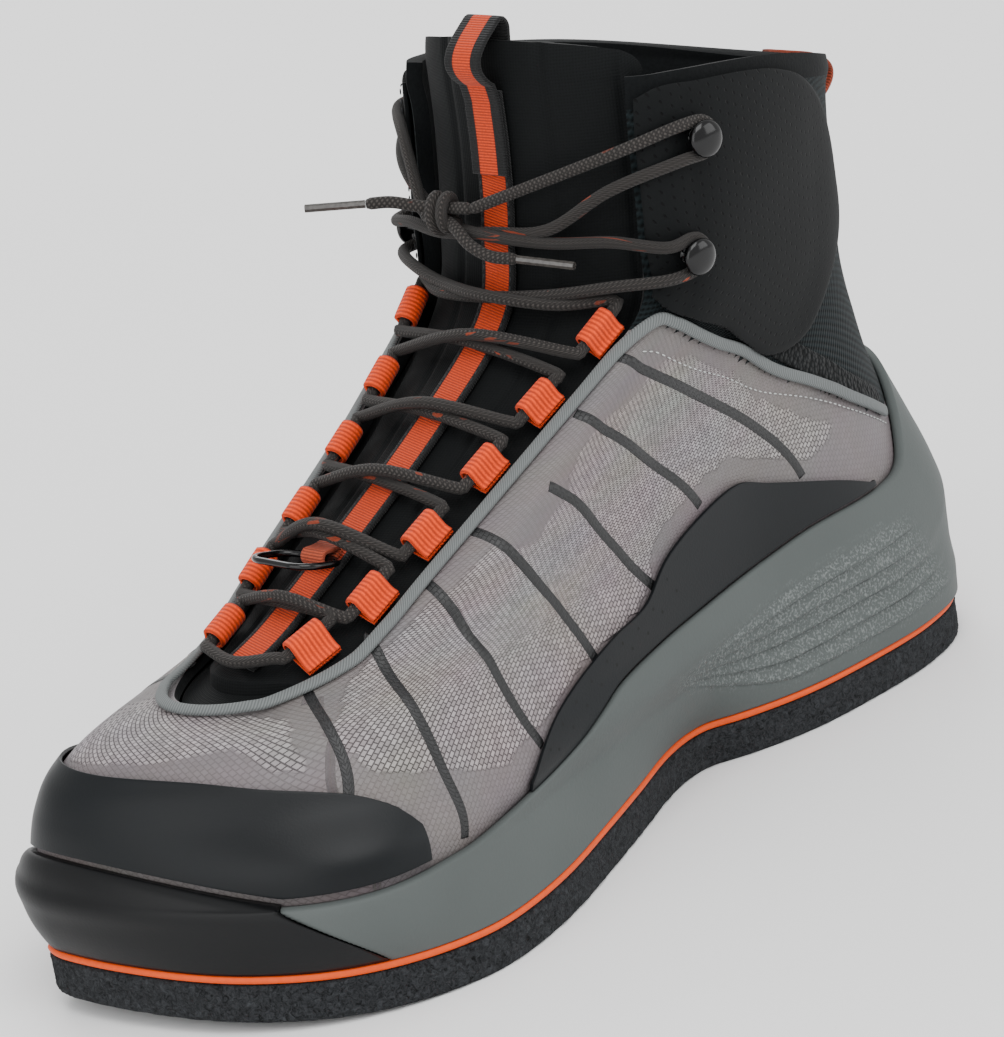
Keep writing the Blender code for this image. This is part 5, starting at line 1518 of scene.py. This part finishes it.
# %% Finish: printed lines
# Screen-printed black ink on the film: thin, satin, slightly uneven
ink, tree, shader = start("screen_printed_black_ink", "0d0e0f", 0.5)
cloth = add(tree, "UVMap", {"uv_map": "cloth"})
weave = add(tree, "TexBrick", {"offset": 0.5},
            {"Vector": cloth, "Color1": colour("101113"), "Color2": colour("0a0b0c"), "Mortar": colour("060708"),
             "Scale": 1.0, "Mortar Size": 0.2, "Mortar Smooth": 0.9, "Brick Width": 1.9, "Row Height": 1.35})
coat(tree, shader, weave.outputs["Color"], weave.outputs["Fac"], 0.6, -0.2)

# %% Upper: the seven printed lines on each side
PRINTED_LINES = (
    ((144, .6958), (126, .6667), (110, .6333), (94, .5958), (80, .5458), (72, .4917), (64, .4167), (60, .3333)),
    ((147, .652), (138, .6375), (124, .6125), (112, .5875), (102, .5542), (94, .5167), (87, .475), (81, .4125)),
    ((140, .596), (126, .5708), (118, .5458), (109, .5083), (102, .4708), (96, .4167), (91, .3417), (87, .2833)),
    ((153, .577), (142, .5583), (130, .5292), (118, .4792), (108, .4083), (102, .3167), (99, .2417), (98, .175)),
    ((153, .540), (142, .5125), (130, .4667), (122, .4125), (116, .3375), (113, .2625), (111, .1875), (110, .125)),
    ((155, .4985), (142, .4542), (132, .3875), (128, .3208), (125.5, .2375), (124.5, .1625), (124.5, .1), (125, .04)),
    ((157, .453), (150, .425), (144, .3917), (140, .3542), (138, .3125), (137, .275), (137, .2375), (137.5, .2)),
)
upper_mesh = bmesh.new()
upper_mesh.from_mesh(upper.data)
upper_tree = BVHTree.FromBMesh(upper_mesh)
upper_mesh.free()
for side, name in SIDES:
    for n, places in enumerate(PRINTED_LINES):
        angles, levels = np.array(places).T
        spots = last.flat(np.radians(side * angles), levels)
        share = np.linspace(0, 1, len(spots))
        fine = np.linspace(0, 1, 120)
        smooth = np.stack([np.polyval(np.polyfit(share, spots[:, k], 3), fine) for k in range(3)], 1)
        found = [upper_tree.find_nearest(Vector(spot)) for spot in smooth]
        path = np.array([spot for spot, *_ in found])
        facing = np.array([normal for _, normal, *_ in found])
        ups = np.stack([np.polyval(np.polyfit(fine, facing[:, k], 4), fine) for k in range(3)], 1)
        band = piece("printed_line_%s_%d" % (name, n + 1),
                     strap(path, ups, flat_section(3.1 * MM, -0.2 * MM, 0.12 * MM), 8), ink)
print(2 * len(PRINTED_LINES), "printed lines")

# %% [markdown]
# The toe cap and the wedges on the sides are thin welded film, the ankle panels a perforated softshell over
# foam. Each is a grid cut to a table of levels, a millimetre off the textile, with a real thickness.

# %% Upper: a helper for the overlays
def overlay(name, table, cells, edges, material, node, swell=0.0, radius=0.35):
    """Sheet cut to a table, just outside the last."""
    columns = [column_curve(table, n) for n in range(1, len(table[0]))]

    def shape(across, along):
        place = table[0][0] + (table[-1][0] - table[0][0]) * across
        phi, level = edges(place, [column(place) for column in columns], along)
        puff = (np.sin(pi * across) * np.sin(pi * along)).clip(0) ** 0.35
        return last.at(phi, level, OVERLAY_TOP + swell * puff)

    made = thicken(piece(name, wrap(cells, shape), material), OVERLAY_THICKNESS, radius * MM)
    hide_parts(node)
    return made


# %% Finish: welded film
# Thermoplastic film pressed on the textile: blue-black, satin, with a fine leather grain
film, tree, shader = start("welded_black_film", "0b0e11", 0.42, IOR=1.5, Specular_IOR_Level=0.2)
place = add(tree, "TexCoord").outputs["Object"]
grain = add(tree, "TexNoise", {}, {"Vector": place, "Scale": 1 / (0.7 * MM), "Detail": 3.0})
haze = add(tree, "TexNoise", {}, {"Vector": place, "Scale": 1 / (35 * MM), "Detail": 3.0})
paint(tree, shader, haze, "080a0c", "0e1215", grain, 0.4, 0.08, gloss=(0.36, 0.52))

# %% Upper: toe cap and side wedges
def cap_edges(degrees, levels, share):
    phi = pi - np.radians(degrees)
    phi = past_toe(phi)
    past = np.abs(phi) > seam_angle(1.0)
    above = np.array([lip_height(angle) if over else 0.5 * MM for angle, over in zip(phi, past)])
    low = rim_at(phi, above + 6 * GAP)
    return phi, low + (levels[0] - low) * share


overlay("toe_cap_film", TOE_CAP, (120, 34), cap_edges, film, "toe_cap")


def wedge_edges(side):
    def edges(degrees, levels, share):
        phi = side * np.radians(degrees)
        low = rim_at(phi, 4 * GAP)
        return phi, low + np.maximum(levels[0] - low, 0.012) * share
    return edges


for side, name in SIDES:
    overlay("side_wedge_" + name, SIDE_PANEL, (100, 24), wedge_edges(side), film, "side_panel_" + name)
print("toe cap and two wedges")

# %% Upper: pinholes in the wedges' narrow front
# Painted shade inside a punched hole: a dark disc lies on the film over each hole
hole_shade_finish, tree, shader = start("pinhole_painted_shade", "050606", 0.9)
place = add(tree, "TexCoord").outputs["Object"]
dust = add(tree, "TexNoise", {}, {"Vector": place, "Scale": 3000.0})
paint(tree, shader, dust, "020303", "0a0b0c")
# Each hole is drawn as a flat dark disc of painted shade lying on the film
made = bmesh.new()
wedge_top = column_curve(SIDE_PANEL, 1)
for side in (1, -1):
    for n in range(9):
        for row in (0, 1):
            degrees = 85 + 2.9 * n + 1.4 * row
            phi = np.array([side * radians(degrees)])
            low = rim_at(phi, 4 * GAP)
            level = low + (wedge_top(degrees) - low) * (0.42 + 0.3 * row)
            spot = last.at(phi, level, OVERLAY_TOP + 0.03 * MM)[0]
            turn = UP.rotation_difference(Vector(last.normal(phi, level)[0]))
            bmesh.ops.create_circle(made, cap_ends=True, segments=12, radius=0.5 * MM,
                                    matrix=Matrix.Translation(spot) @ turn.to_matrix().to_4x4())
pinholes = piece("wedge_pinhole_shade_discs", made, hole_shade_finish, turn_out=False)
print("36 pinholes")

# %% Finish: perforated softshell
# Softshell cloth over foam: black, matt, with rows of tiny pricked holes 3.2 mm apart, their insides painted darker
# as painted shade
softshell, tree, shader = start("pricked_black_softshell", "060708", 0.7, Sheen_Weight=0.03, Sheen_Roughness=0.45,
                                Specular_IOR_Level=0.12)
cloth = add(tree, "UVMap", {"uv_map": "cloth"})
dots = add(tree, "TexVoronoi", {"feature": "F1"},
           {"Vector": cloth, "Scale": 1 / 3.2, "Randomness": 0.0})
pricked_holes_and_shade = add(tree, "MapRange", {}, {"Value": dots, "From Min": 0.10, "From Max": 0.17})
place = add(tree, "TexCoord").outputs["Object"]
grain = add(tree, "TexNoise", {}, {"Vector": place, "Scale": 1 / (0.8 * MM), "Detail": 2.0})
height = add(tree, "Math", {"operation": "MULTIPLY_ADD"}, {0: grain, 1: 0.3, 2: pricked_holes_and_shade})
# The holes are pressed in by the bump, and their darker colour is painted shade
paint(tree, shader, pricked_holes_and_shade, "010102", "080a0b", height, 0.6, 0.3)

# %% Upper: ankle panels
def panel_edges(side):
    def edges(part, levels, share):
        level = levels[0] + (levels[1] - levels[0]) * share
        return side * part * throat_at(level, side), level
    return edges


for side, name in SIDES:
    overlay("ankle_softshell_" + name, ANKLE_PANEL, (110, 90), panel_edges(side), softshell, "ankle_panel_" + name,
            1.3 * MM, 0.4)
print("ankle panels")

# %% Finish: binding tape
# Folded polyester tape: mid grey, fine ribs across it
tape, tree, shader = start("ribbed_grey_tape", "5e6261", 0.75, Sheen_Weight=0.05, Specular_IOR_Level=0.2)
cloth = add(tree, "UVMap", {"uv_map": "cloth"})
ribs = add(tree, "TexWave", {"bands_direction": "Y"}, {"Vector": cloth, "Scale": WAVE / 0.9})
paint(tree, shader, ribs.outputs["Fac"], "505353", "696d6d", ribs.outputs["Fac"], 0.5, 0.15)

# %% Upper: binding round the quarter and the throat
def binding_places():
    """Degrees and levels along the binding, outer heel to inner heel."""
    inset = 0.55 * BINDING_WIDTH
    half = list(QUARTER_TOP[::-1])
    for level in (.70, .66, .62, .58, .54, .50, .470):
        half.append((math.degrees(throat_edge(level) - inset / (0.35 * BALL_WIDTH)), level))
    edge = throat_edge(VAMP_LEVEL)
    for k in range(1, 6):
        level = VAMP_LEVEL - VAMP_DIP * math.sqrt(1 - (1 - k / 6) ** 4) - 0.008
        half.append((math.degrees(edge + (pi - edge) * k / 6), level))
    tip = (180, VAMP_LEVEL - VAMP_DIP - 0.008)
    return half + [tip] + [(360 - degrees, level) for degrees, level in half[::-1]]


def turned_trail(places, parts):
    phi, level = trail(places, parts)
    phi = past_toe(phi)
    return last.at(phi, level, 0.0), last.normal(phi, level)


path, ups = turned_trail(binding_places(), 14)
section = flat_section(BINDING_WIDTH + 0.3 * MM, 0.25 * MM, 2.2 * MM, 0.7)
binding = piece("quarter_tape", strap(path, ups, section, 14), tape)
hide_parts("quarter_binding")
print("binding:", len(path), "stations")

# %% Finish: fuzzy mesh
# Looped black mesh ribbon: coarse, fuzzy, light catches its loops
loop_mesh, tree, shader = start("fuzzy_black_mesh", "070809", 0.85, Sheen_Weight=0.05, Specular_IOR_Level=0.1)
place = add(tree, "TexCoord").outputs["Object"]
loops = add(tree, "TexVoronoi", {}, {"Vector": place, "Scale": 1 / (1.5 * MM)})
paint(tree, shader, loops, "1d1f20", "020303", loops, 1.0, -0.9)

# %% Upper: fuzzy strip above the quarter
for side, name in SIDES:
    places = [(side * degrees, level + 0.026) for degrees, level in QUARTER_TOP]
    path, ups = on_trail(places)
    section = flat_section(7.5 * MM, -0.3 * MM, 1.0 * MM, 0.6)
    strip = piece("mesh_strip_" + name, strap(path, ups, section, 14), loop_mesh)
print("two mesh strips")

# %% [markdown]
# The tongue is foam between two layers of softshell. It tucks under the throat's edges, swells between
# them and rises in a round top. It is one grid with a thick wall, and sewn channels are pressed into it.

# %% Finish: stretch softshell of the tongue
# Knitted stretch cloth: black, smooth, a soft sheen at grazing angles
stretch_cloth, tree, shader = start("smooth_black_stretch_cloth", "08090a", 0.75, Sheen_Weight=0.03,
                                    Sheen_Roughness=0.4, Specular_IOR_Level=0.12)
cloth = add(tree, "UVMap", {"uv_map": "cloth"})
ribs = add(tree, "TexWave", {"bands_direction": "X"}, {"Vector": cloth, "Scale": WAVE / 0.9})
cross = add(tree, "TexWave", {"bands_direction": "Y"}, {"Vector": cloth, "Scale": WAVE / 0.9})
grain = add(tree, "Math", {"operation": "ADD"}, {0: ribs.outputs["Fac"], 1: cross.outputs["Fac"]})
paint(tree, shader, grain, "050606", "0b0d0e", grain, 0.3, 0.15)

# %% Tongue: the padded sheet
TONGUE_TUCK = 0.12
TONGUE_ROWS = 130


def tongue_lift(share, level, free):
    """Depth of the tongue's face under the last, with its sewn channels."""
    under = np.array([wall(v) for v in level]) + TONGUE_GAP
    swell = (under - TONGUE_SINK) * np.cos(pi / 2 * np.clip(np.abs(share) / free, 0, 1)) ** 0.6
    lift = -under + np.where(level < 0.46, 0.0, swell)
    channel = np.exp(-((np.abs(share) - 0.34) / 0.025) ** 2) + 0.6 * np.exp(-((level - 0.815) / 0.006) ** 2)
    return lift - 0.8 * MM * channel * smoothstep(0.46, 0.5, level)


def tongue_shape(across, along):
    share = 2 * across - 1
    v = np.minimum(along / 0.94, 1)
    level = 0.435 + 0.565 * v
    side = np.where(share >= 0, 1, -1)
    open_part = pi - throat_at(level, side)
    phi = pi - share * (open_part + TONGUE_TUCK)
    phi = past_toe(phi)
    edge = pi - throat_left(level)
    lift = tongue_lift(share, level, 0.93 * edge / (edge + TONGUE_TUCK))
    points = last.at(phi, np.minimum(level, 0.995), lift)
    rise = np.clip((along - 0.94) / 0.06, 0, 1)
    points[:, 2] += rise * (TONGUE_RISE * np.sqrt(np.clip(1 - share ** 2, 0, 1)) + 1 * MM)
    points[:, 1] += 1.5 * MM * rise ** 2
    return points


tongue = piece("padded_tongue", wrap((100, TONGUE_ROWS), tongue_shape), stretch_cloth)
thicken(tongue, TONGUE_THICKNESS, 1.4 * MM)
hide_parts("tongue")
print("tongue:", len(tongue.data.polygons), "faces")

# %% [markdown]
# Webbing is a flat woven band. Its ribs follow the UV map, and a second colour marks the edges where the
# band is folded under and sewn. One function makes each colour of it.

# %% Finish: webbing
def webbing(name, middle, edge, half_width, rib, across_ribs=False):
    """Woven polyester webbing: matt, ribbed, its edges in a second colour."""
    made, tree, shader = start(name, middle, 0.8, Sheen_Weight=0.06, Specular_IOR_Level=0.3)
    cloth = add(tree, "UVMap", {"uv_map": "cloth"})
    ribs = add(tree, "TexWave", {"bands_direction": "X" if across_ribs else "Y"},
               {"Vector": cloth, "Scale": WAVE / rib, "Distortion": 0.5, "Detail Scale": 0.6})
    threads = add(tree, "TexNoise", {}, {"Vector": cloth, "Scale": 1.4, "Detail": 2.0})
    parts = add(tree, "SeparateXYZ", {}, {"Vector": cloth})
    aside = add(tree, "Math", {"operation": "ABSOLUTE"}, {0: parts.outputs["X"]})
    sewn = add(tree, "MapRange", {}, {"Value": aside, "From Min": half_width - 0.15,
                                                "From Max": half_width + 0.15})
    both = add(tree, "Mix", {"data_type": "RGBA"},
               {"Factor": sewn, 6: colour(middle), 7: colour(edge)})
    depth = add(tree, "Math", {"operation": "MULTIPLY"}, {0: ribs.outputs["Fac"], 1: threads})
    dark = add(tree, "MapRange", {}, {"Value": depth, "From Max": 0.5, "To Min": 0.45, "To Max": 1.1})
    shade = add(tree, "Mix", {"data_type": "RGBA", "blend_type": "MULTIPLY"},
                {"Factor": 1.0, 6: both.outputs[2], 7: dark})
    coat(tree, shader, shade.outputs[2], depth, 0.9, 0.4)
    return made


loop_web = webbing("ribbed_orange_webbing", "e04000", "e04000", 99, 1.35, True)
stripe_web = webbing("rust_tape_with_dark_edges", "c83c0c", "0c0d0e", 4.4, 0.8)
rust_web = webbing("rust_webbing", "a8462a", "8f3a22", 6.5, 0.9)
black_web = webbing("black_webbing_with_orange_middle", "c83c0c", "0a0b0c", 3.3, 0.8)
print("four kinds of webbing")

# %% Tongue: stripe and its stitches
levels = np.linspace(0.475, 0.985, 128)
front = np.full(levels.shape, pi)
path = last.at(front, levels, GAP - TONGUE_SINK)
section = flat_section(STRIPE_WIDTH, 0.2 * MM, 1.8 * MM, 0.3)
stripe = piece("tongue_stripe_tape", strap(path, last.normal(front, levels), section, 20), stripe_web)
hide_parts("tongue_stripe")
print("stripe: %.0f mm long" % (np.linalg.norm(np.diff(path, axis=0), axis=1).sum() * 1000))

# %% [markdown]
# The lace runs through folded webbing loops. A loop is a band that comes up from the quarter's edge, turns
# round the lace and goes back on itself. Its fold is drawn in the plane across the lace and swept sideways.

# %% Lacing: the webbing loops
def fold_path(frame_here, reach, drop, bore, layer):
    """Middle line of a folded band and the way it faces."""
    centre, along, up, outward = frame_here
    points = [centre + outward * reach - up * (drop - 0.5 * layer)]
    radius = bore + layer / 2
    points.append(centre + outward * 0.55 * reach - up * (drop - 0.55 * layer))
    for k in range(13):
        turn = radians(285 - k * 17.5)
        points.append(centre + (outward * cos(turn) + up * sin(turn)) * radius)
    points.append(centre + outward * 0.62 * reach - up * (drop - 2.2 * layer))
    points.append(centre + outward * reach - up * (drop - 1.5 * layer))
    smooth = evenly(points, 0.45 * MM)
    faces = []
    for k in range(len(smooth)):
        run = smooth[min(k + 1, len(smooth) - 1)] - smooth[max(k - 1, 0)]
        faces.append(run.cross(along).normalized())
    if (smooth[len(smooth) // 2] - centre).dot(faces[len(smooth) // 2]) < 0:
        faces = [-face for face in faces]
    return smooth, faces


for side, name in SIDES:
    for n in range(len(LACE_LOOPS)):
        tail = LACE_LOOPS[n][2] * LACE
        path, faces = fold_path(loop_frame(n, side), tail, LOOP_RISE + LOOP_WALL, LACE_BORE, LOOP_WALL)
        half = LOOP_WALL / 2
        loop = piece("webbing_loop_%s_%d" % (name, n + 1),
                     strap(path, faces, flat_section(LOOP_LENGTH, -half, half, 0.25), 36), loop_web)
        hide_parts("lace_loop_%s_%d" % (name, n + 1))
print(2 * len(LACE_LOOPS), "loops")

# %% [markdown]
# Speed hooks are pressed from steel and coated with black enamel. The shape is turned, so a profile of a
# few points is spun a full turn and merged.

# %% Finish: black enamel
# Baked enamel on steel: black, mirror-glossy
enamel, tree, shader = start("baked_black_enamel", "050506", 0.12, Specular_IOR_Level=0.35)
place = add(tree, "TexCoord").outputs["Object"]
waves = add(tree, "TexNoise", {}, {"Vector": place, "Scale": 1 / (3 * MM)})
paint(tree, shader, waves, "030304", "070708", gloss=(0.08, 0.2))

# %% Lacing: the hooks
neck = HOOK_BASE_THICKNESS + LACE + 3 * LACE_GAP
HOOK_PROFILE = [(0.0, 0.0), (HOOK_BASE_RADIUS * 0.96, 0.0), (HOOK_BASE_RADIUS, 0.4 * MM),
                (HOOK_BASE_RADIUS * 0.93, HOOK_BASE_THICKNESS), (HOOK_STEM_RADIUS * 1.5, HOOK_BASE_THICKNESS * 1.1),
                (HOOK_STEM_RADIUS * 1.05, HOOK_BASE_THICKNESS * 1.8), (HOOK_STEM_RADIUS, 0.5 * neck),
                (HOOK_STEM_RADIUS * 1.1, 0.85 * neck), (HOOK_STEM_RADIUS * 1.6, 0.99 * neck),
                (HOOK_HEAD_RADIUS * 0.9, neck + 0.1 * MM)]
for k in range(10):
    turn = radians(-20 + 110 * k / 9)
    HOOK_PROFILE.append((HOOK_HEAD_RADIUS * cos(turn) if k < 9 else 0.0,
                         neck + 0.3 * HOOK_HEAD_HEIGHT + 0.7 * HOOK_HEAD_HEIGHT * sin(turn)))
for n, row in enumerate(("upper", "lower")):
    for side, name in SIDES:
        foot, axis = hook_frame(n, side)
        made = bmesh.new()
        profile = [made.verts.new((radius, 0, height)) for radius, height in HOOK_PROFILE]
        edges = [made.edges.new(pair) for pair in zip(profile, profile[1:])]
        bmesh.ops.spin(made, geom=profile + edges, cent=(0, 0, 0), axis=(0, 0, 1), angle=2 * pi, steps=40,
                       use_merge=True)
        bmesh.ops.remove_doubles(made, verts=made.verts, dist=0.005 * MM)
        turn = UP.rotation_difference(axis)
        bmesh.ops.rotate(made, verts=made.verts, cent=(0, 0, 0), matrix=turn.to_matrix())
        bmesh.ops.translate(made, verts=made.verts, vec=foot)
        hook = piece("enamel_hook_%s_%s" % (row, name), made, enamel)
        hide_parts("hook_%s_%s" % (row, name))
print("four hooks,", len(HOOK_PROFILE), "points in their profile")

# %% [markdown]
# A small wire ring for a gaiter's hook hangs from a webbing tab low on the stripe, on the tab's bar. It rides on its
# own body.

# %% Lacing: gaiter ring and its tab
RING_LEVEL = 0.552
pivot_up = last_normal(pi, RING_LEVEL)
pivot = on_last(pi, RING_LEVEL, 6 * GAP + STRIPE_THICKNESS - TONGUE_SINK + LOOP_WALL + TURN_GAP + RING_WIRE / 2)
pivot_ahead = (last_point(pi, RING_LEVEL + 0.02) - last_point(pi, RING_LEVEL - 0.02)).normalized()
half = RING_WIDTH / 2 - RING_CORNER
deep = RING_DEPTH - 2 * RING_CORNER
tilt = radians(RING_TILT)
ring_path = []
for k, (x, y) in enumerate(((half, 0), (half, -deep), (-half, -deep), (-half, 0))):
    for step in range(10):
        turn = radians(90 - 90 * k - 10 * step)
        flat_x = x + RING_CORNER * cos(turn)
        flat_y = y + RING_CORNER * (sin(turn) - 1)
        ring_path.append(pivot + Vector((flat_x, flat_y * cos(tilt), -flat_y * sin(tilt))))
ring = piece("gaiter_wire_ring", tube(ring_path + ring_path[:1], RING_WIRE / 2, 16, 0.4, closed=True), enamel,
             body="gaiter_ring")
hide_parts("gaiter_ring")

bore = RING_WIRE / 2 + TURN_GAP
tab_frame = (pivot, OUTER, pivot_up, pivot_ahead)
path, faces = fold_path(tab_frame, RING_TAB_TAIL, bore + LOOP_WALL, bore, LOOP_WALL)
section = flat_section(RING_TAB_WIDTH, -LOOP_WALL / 2, LOOP_WALL / 2, 0.25)
tab = piece("ring_tab_webbing", strap(path, faces, section, 20), rust_web)
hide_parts("ring_tab")
print("ring and tab at level", RING_LEVEL)

# %% Pull loops at the heel and on the tongue
def arc_loop(low, high, out, depth):
    points = []
    for k in range(61):
        u = k / 60
        points.append(low.lerp(high, u) + out * depth * sin(pi * u) ** 0.8)
    return points


def facing(points, side, out):
    """Way that each part of a band faces, outwards."""
    faces = []
    for k in range(len(points)):
        run = points[min(k + 1, len(points) - 1)] - points[max(k - 1, 0)]
        face = run.cross(side).normalized()
        faces.append(face)
    return faces if faces[len(faces) // 3].dot(out) > 0 else [-face for face in faces]


heel_path = arc_loop(on_last(0.0, 0.87, GAP), on_last(0.0, 0.995, GAP), Vector((0, 1, 0)), HEEL_LOOP_STAND + 6.0 * MM)
heel_loop = piece("heel_pull_loop", strap(heel_path, facing(heel_path, OUTER, Vector((0, 1, 0))),
                                          flat_section(HEEL_LOOP_WIDTH, 0, WEB_THICKNESS, 0.25), 20), rust_web)
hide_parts("heel_loop")

foot = on_front(0.0, 0.985 * COLLAR_HEIGHT, 2 * GAP - TONGUE_SINK)
crest = foot + Vector((0, 0.3 * TONGUE_LOOP_DEPTH, 0.74 * TONGUE_LOOP_HEIGHT))
run_in = [on_last(pi, level, 1.6 * MM) for level in np.linspace(0.885, 0.975, 8)]
tongue_path = run_in + [foot.lerp(crest, k / 24) + Vector((0, -TONGUE_LOOP_DEPTH * sin(pi * k / 24), 0))
                        for k in range(3, 24)]
tongue_path += [crest + Vector((0, 1.0, 0.55)) * MM, crest + Vector((0, 2.3, -0.4)) * MM]
tongue_path += [foot.lerp(crest, u) + Vector((0, 2.9 * MM, 0)) for u in (0.9, 0.82, 0.75, 0.6, 0.4)]
tongue_path = evenly(tongue_path, 0.6 * MM)
tongue_pull = piece("tongue_pull_loop", strap(tongue_path, facing(tongue_path, OUTER, Vector((0, -1, 0))),
                                              flat_section(TONGUE_LOOP_WIDTH, 0, WEB_THICKNESS, 0.25), 24), black_web)
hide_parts("tongue_loop")
print("pull loops:", len(heel_path), "and", len(tongue_path), "stations")

# %% [markdown]
# Stitches are small rounded capsules of thread that lie along a seam. Each is one low sphere that is
# stretched along its seam by its matrix, so a few hundred stay light.

# %% Finish: sewing thread
def thread(name, code):
    """Twisted polyester thread: satin."""
    made, tree, shader = start(name, code, 0.6, Specular_IOR_Level=0.3)
    place = add(tree, "TexCoord").outputs["Object"]
    ply = add(tree, "TexNoise", {}, {"Vector": place, "Scale": 1 / (0.4 * MM)})
    shade = add(tree, "Mix", {"data_type": "RGBA", "blend_type": "MULTIPLY"},
                {"Factor": 0.5, 6: colour(code), 7: ply})
    tree.links.new(shade.outputs[2], shader.inputs["Base Color"])
    return made


grey_thread = thread("pale_grey_thread", "c9cccb")
black_thread = thread("black_thread", "2a2c2e")


def stitches(name, path, material, pitch=2.6, long=1.7, radius=0.28):
    """Row of stitches along a path on the boot, sizes in mm."""
    path = np.array(path)
    run = np.concatenate([[0], np.cumsum(np.linalg.norm(np.diff(path, axis=0), axis=1))])
    places = np.arange(pitch * MM / 2, run[-1], pitch * MM)
    made = bmesh.new()
    for place_here in places:
        ends = [Vector([np.interp(place_here + half, run, path[:, k]) for k in range(3)])
                for half in (-long * MM / 2, long * MM / 2)]
        turn = UP.rotation_difference(ends[1] - ends[0]).to_matrix().to_4x4()
        size = Matrix.Diagonal((radius * MM, radius * MM, long * MM / 2, 1))
        bmesh.ops.create_uvsphere(made, u_segments=6, v_segments=4, radius=1,
                                  matrix=Matrix.Translation((ends[0] + ends[1]) / 2) @ turn @ size)
    row = piece(name, made, material, turn_out=False)
    return len(places)


count = 0
for side, name in SIDES:
    path, _ = on_trail([(side * degrees, level - 0.028) for degrees, level in QUARTER_TOP], 0.2 * MM)
    count += stitches("quarter_stitches_" + name, path, grey_thread, 2.4, 1.5, 0.22)
    phi_row, level_row = [], []
    rows, tops = column_curve(ANKLE_PANEL, 1), column_curve(ANKLE_PANEL, 2)
    corners = [(part, 0) for part in np.linspace(0.38, 0.965, 60)]
    corners += [(0.965, share) for share in np.linspace(0, 1, 30)]
    corners += [(part, 1) for part in np.linspace(0.965, 0.385, 60)]
    corners += [(0.383, share) for share in np.linspace(1, 0, 24)]
    for part, share in corners:
        low, high = rows(part) + 0.012, tops(part) - 0.014
        level_row.append(low + (high - low) * share)
        phi_row.append(side * part * float(throat_at(np.array([level_row[-1]]), np.array([side]))[0]))
    path = last.at(np.array(phi_row), np.array(level_row), OVERLAY_TOP + 1.0 * MM)
    count += stitches("ankle_stitches_" + name, path, black_thread, 2.8, 1.9, 0.26)
    path = last.at(front, levels, GAP - TONGUE_SINK + 1.75 * MM) + (side * 5.0 * MM, 0, 0)
    count += stitches("stripe_stitches_" + name, path, black_thread, 2.6, 1.8, 0.3)
print(count, "stitches")

# %% [markdown]
# The photograph is a studio shot on white: large soft lights from above and from the side, and a white
# ground. Here four big area lights and a pale world light the boot, and a pale plane stands for the ground.

# %% Floor and light
floor_mesh = bmesh.new()
bmesh.ops.create_grid(floor_mesh, x_segments=2, y_segments=2, size=6)
# Matt white painted board
board, tree, shader = start("white_painted_board", "f4f4f4", 0.9)
place = add(tree, "TexCoord").outputs["Object"]
grain = add(tree, "TexNoise", {}, {"Vector": place, "Scale": 4.0})
paint(tree, shader, grain, "f2f2f2", "f6f6f6")
floor_data = bpy.data.meshes.new("floor")
floor_mesh.to_mesh(floor_data)
floor_mesh.free()
floor_data.materials.append(board)
floor = bpy.data.objects.new("floor", floor_data)
to_scene(floor)

LIGHTS = (
    ("key", (0.9, -0.5, 1.5), 1.2, 22.0),
    ("front", (0.3, -1.8, 0.7), 1.4, 14.0),
    ("rim", (-1.2, 0.7, 1.2), 1.0, 14.0),
    ("side", (1.8, 0.9, 0.8), 1.2, 12.0),
)
for name, spot, size, power in LIGHTS:
    lamp = bpy.data.lights.new(name, "AREA")
    lamp.size = size
    lamp.energy = power
    light = bpy.data.objects.new(name, lamp)
    light.location = spot
    light.rotation_euler = (Vector((0, -0.1, 0.09)) - Vector(spot)).to_track_quat("-Z", "Y").to_euler()
    to_scene(light)

sky = bpy.data.worlds.new("white_studio")
sky.use_nodes = True
sky.node_tree.nodes["Background"].inputs["Color"].default_value = colour("ffffff")
sky.node_tree.nodes["Background"].inputs["Strength"].default_value = 1.0
bpy.context.scene.world = sky
print(len(LIGHTS), "lights and a pale world")
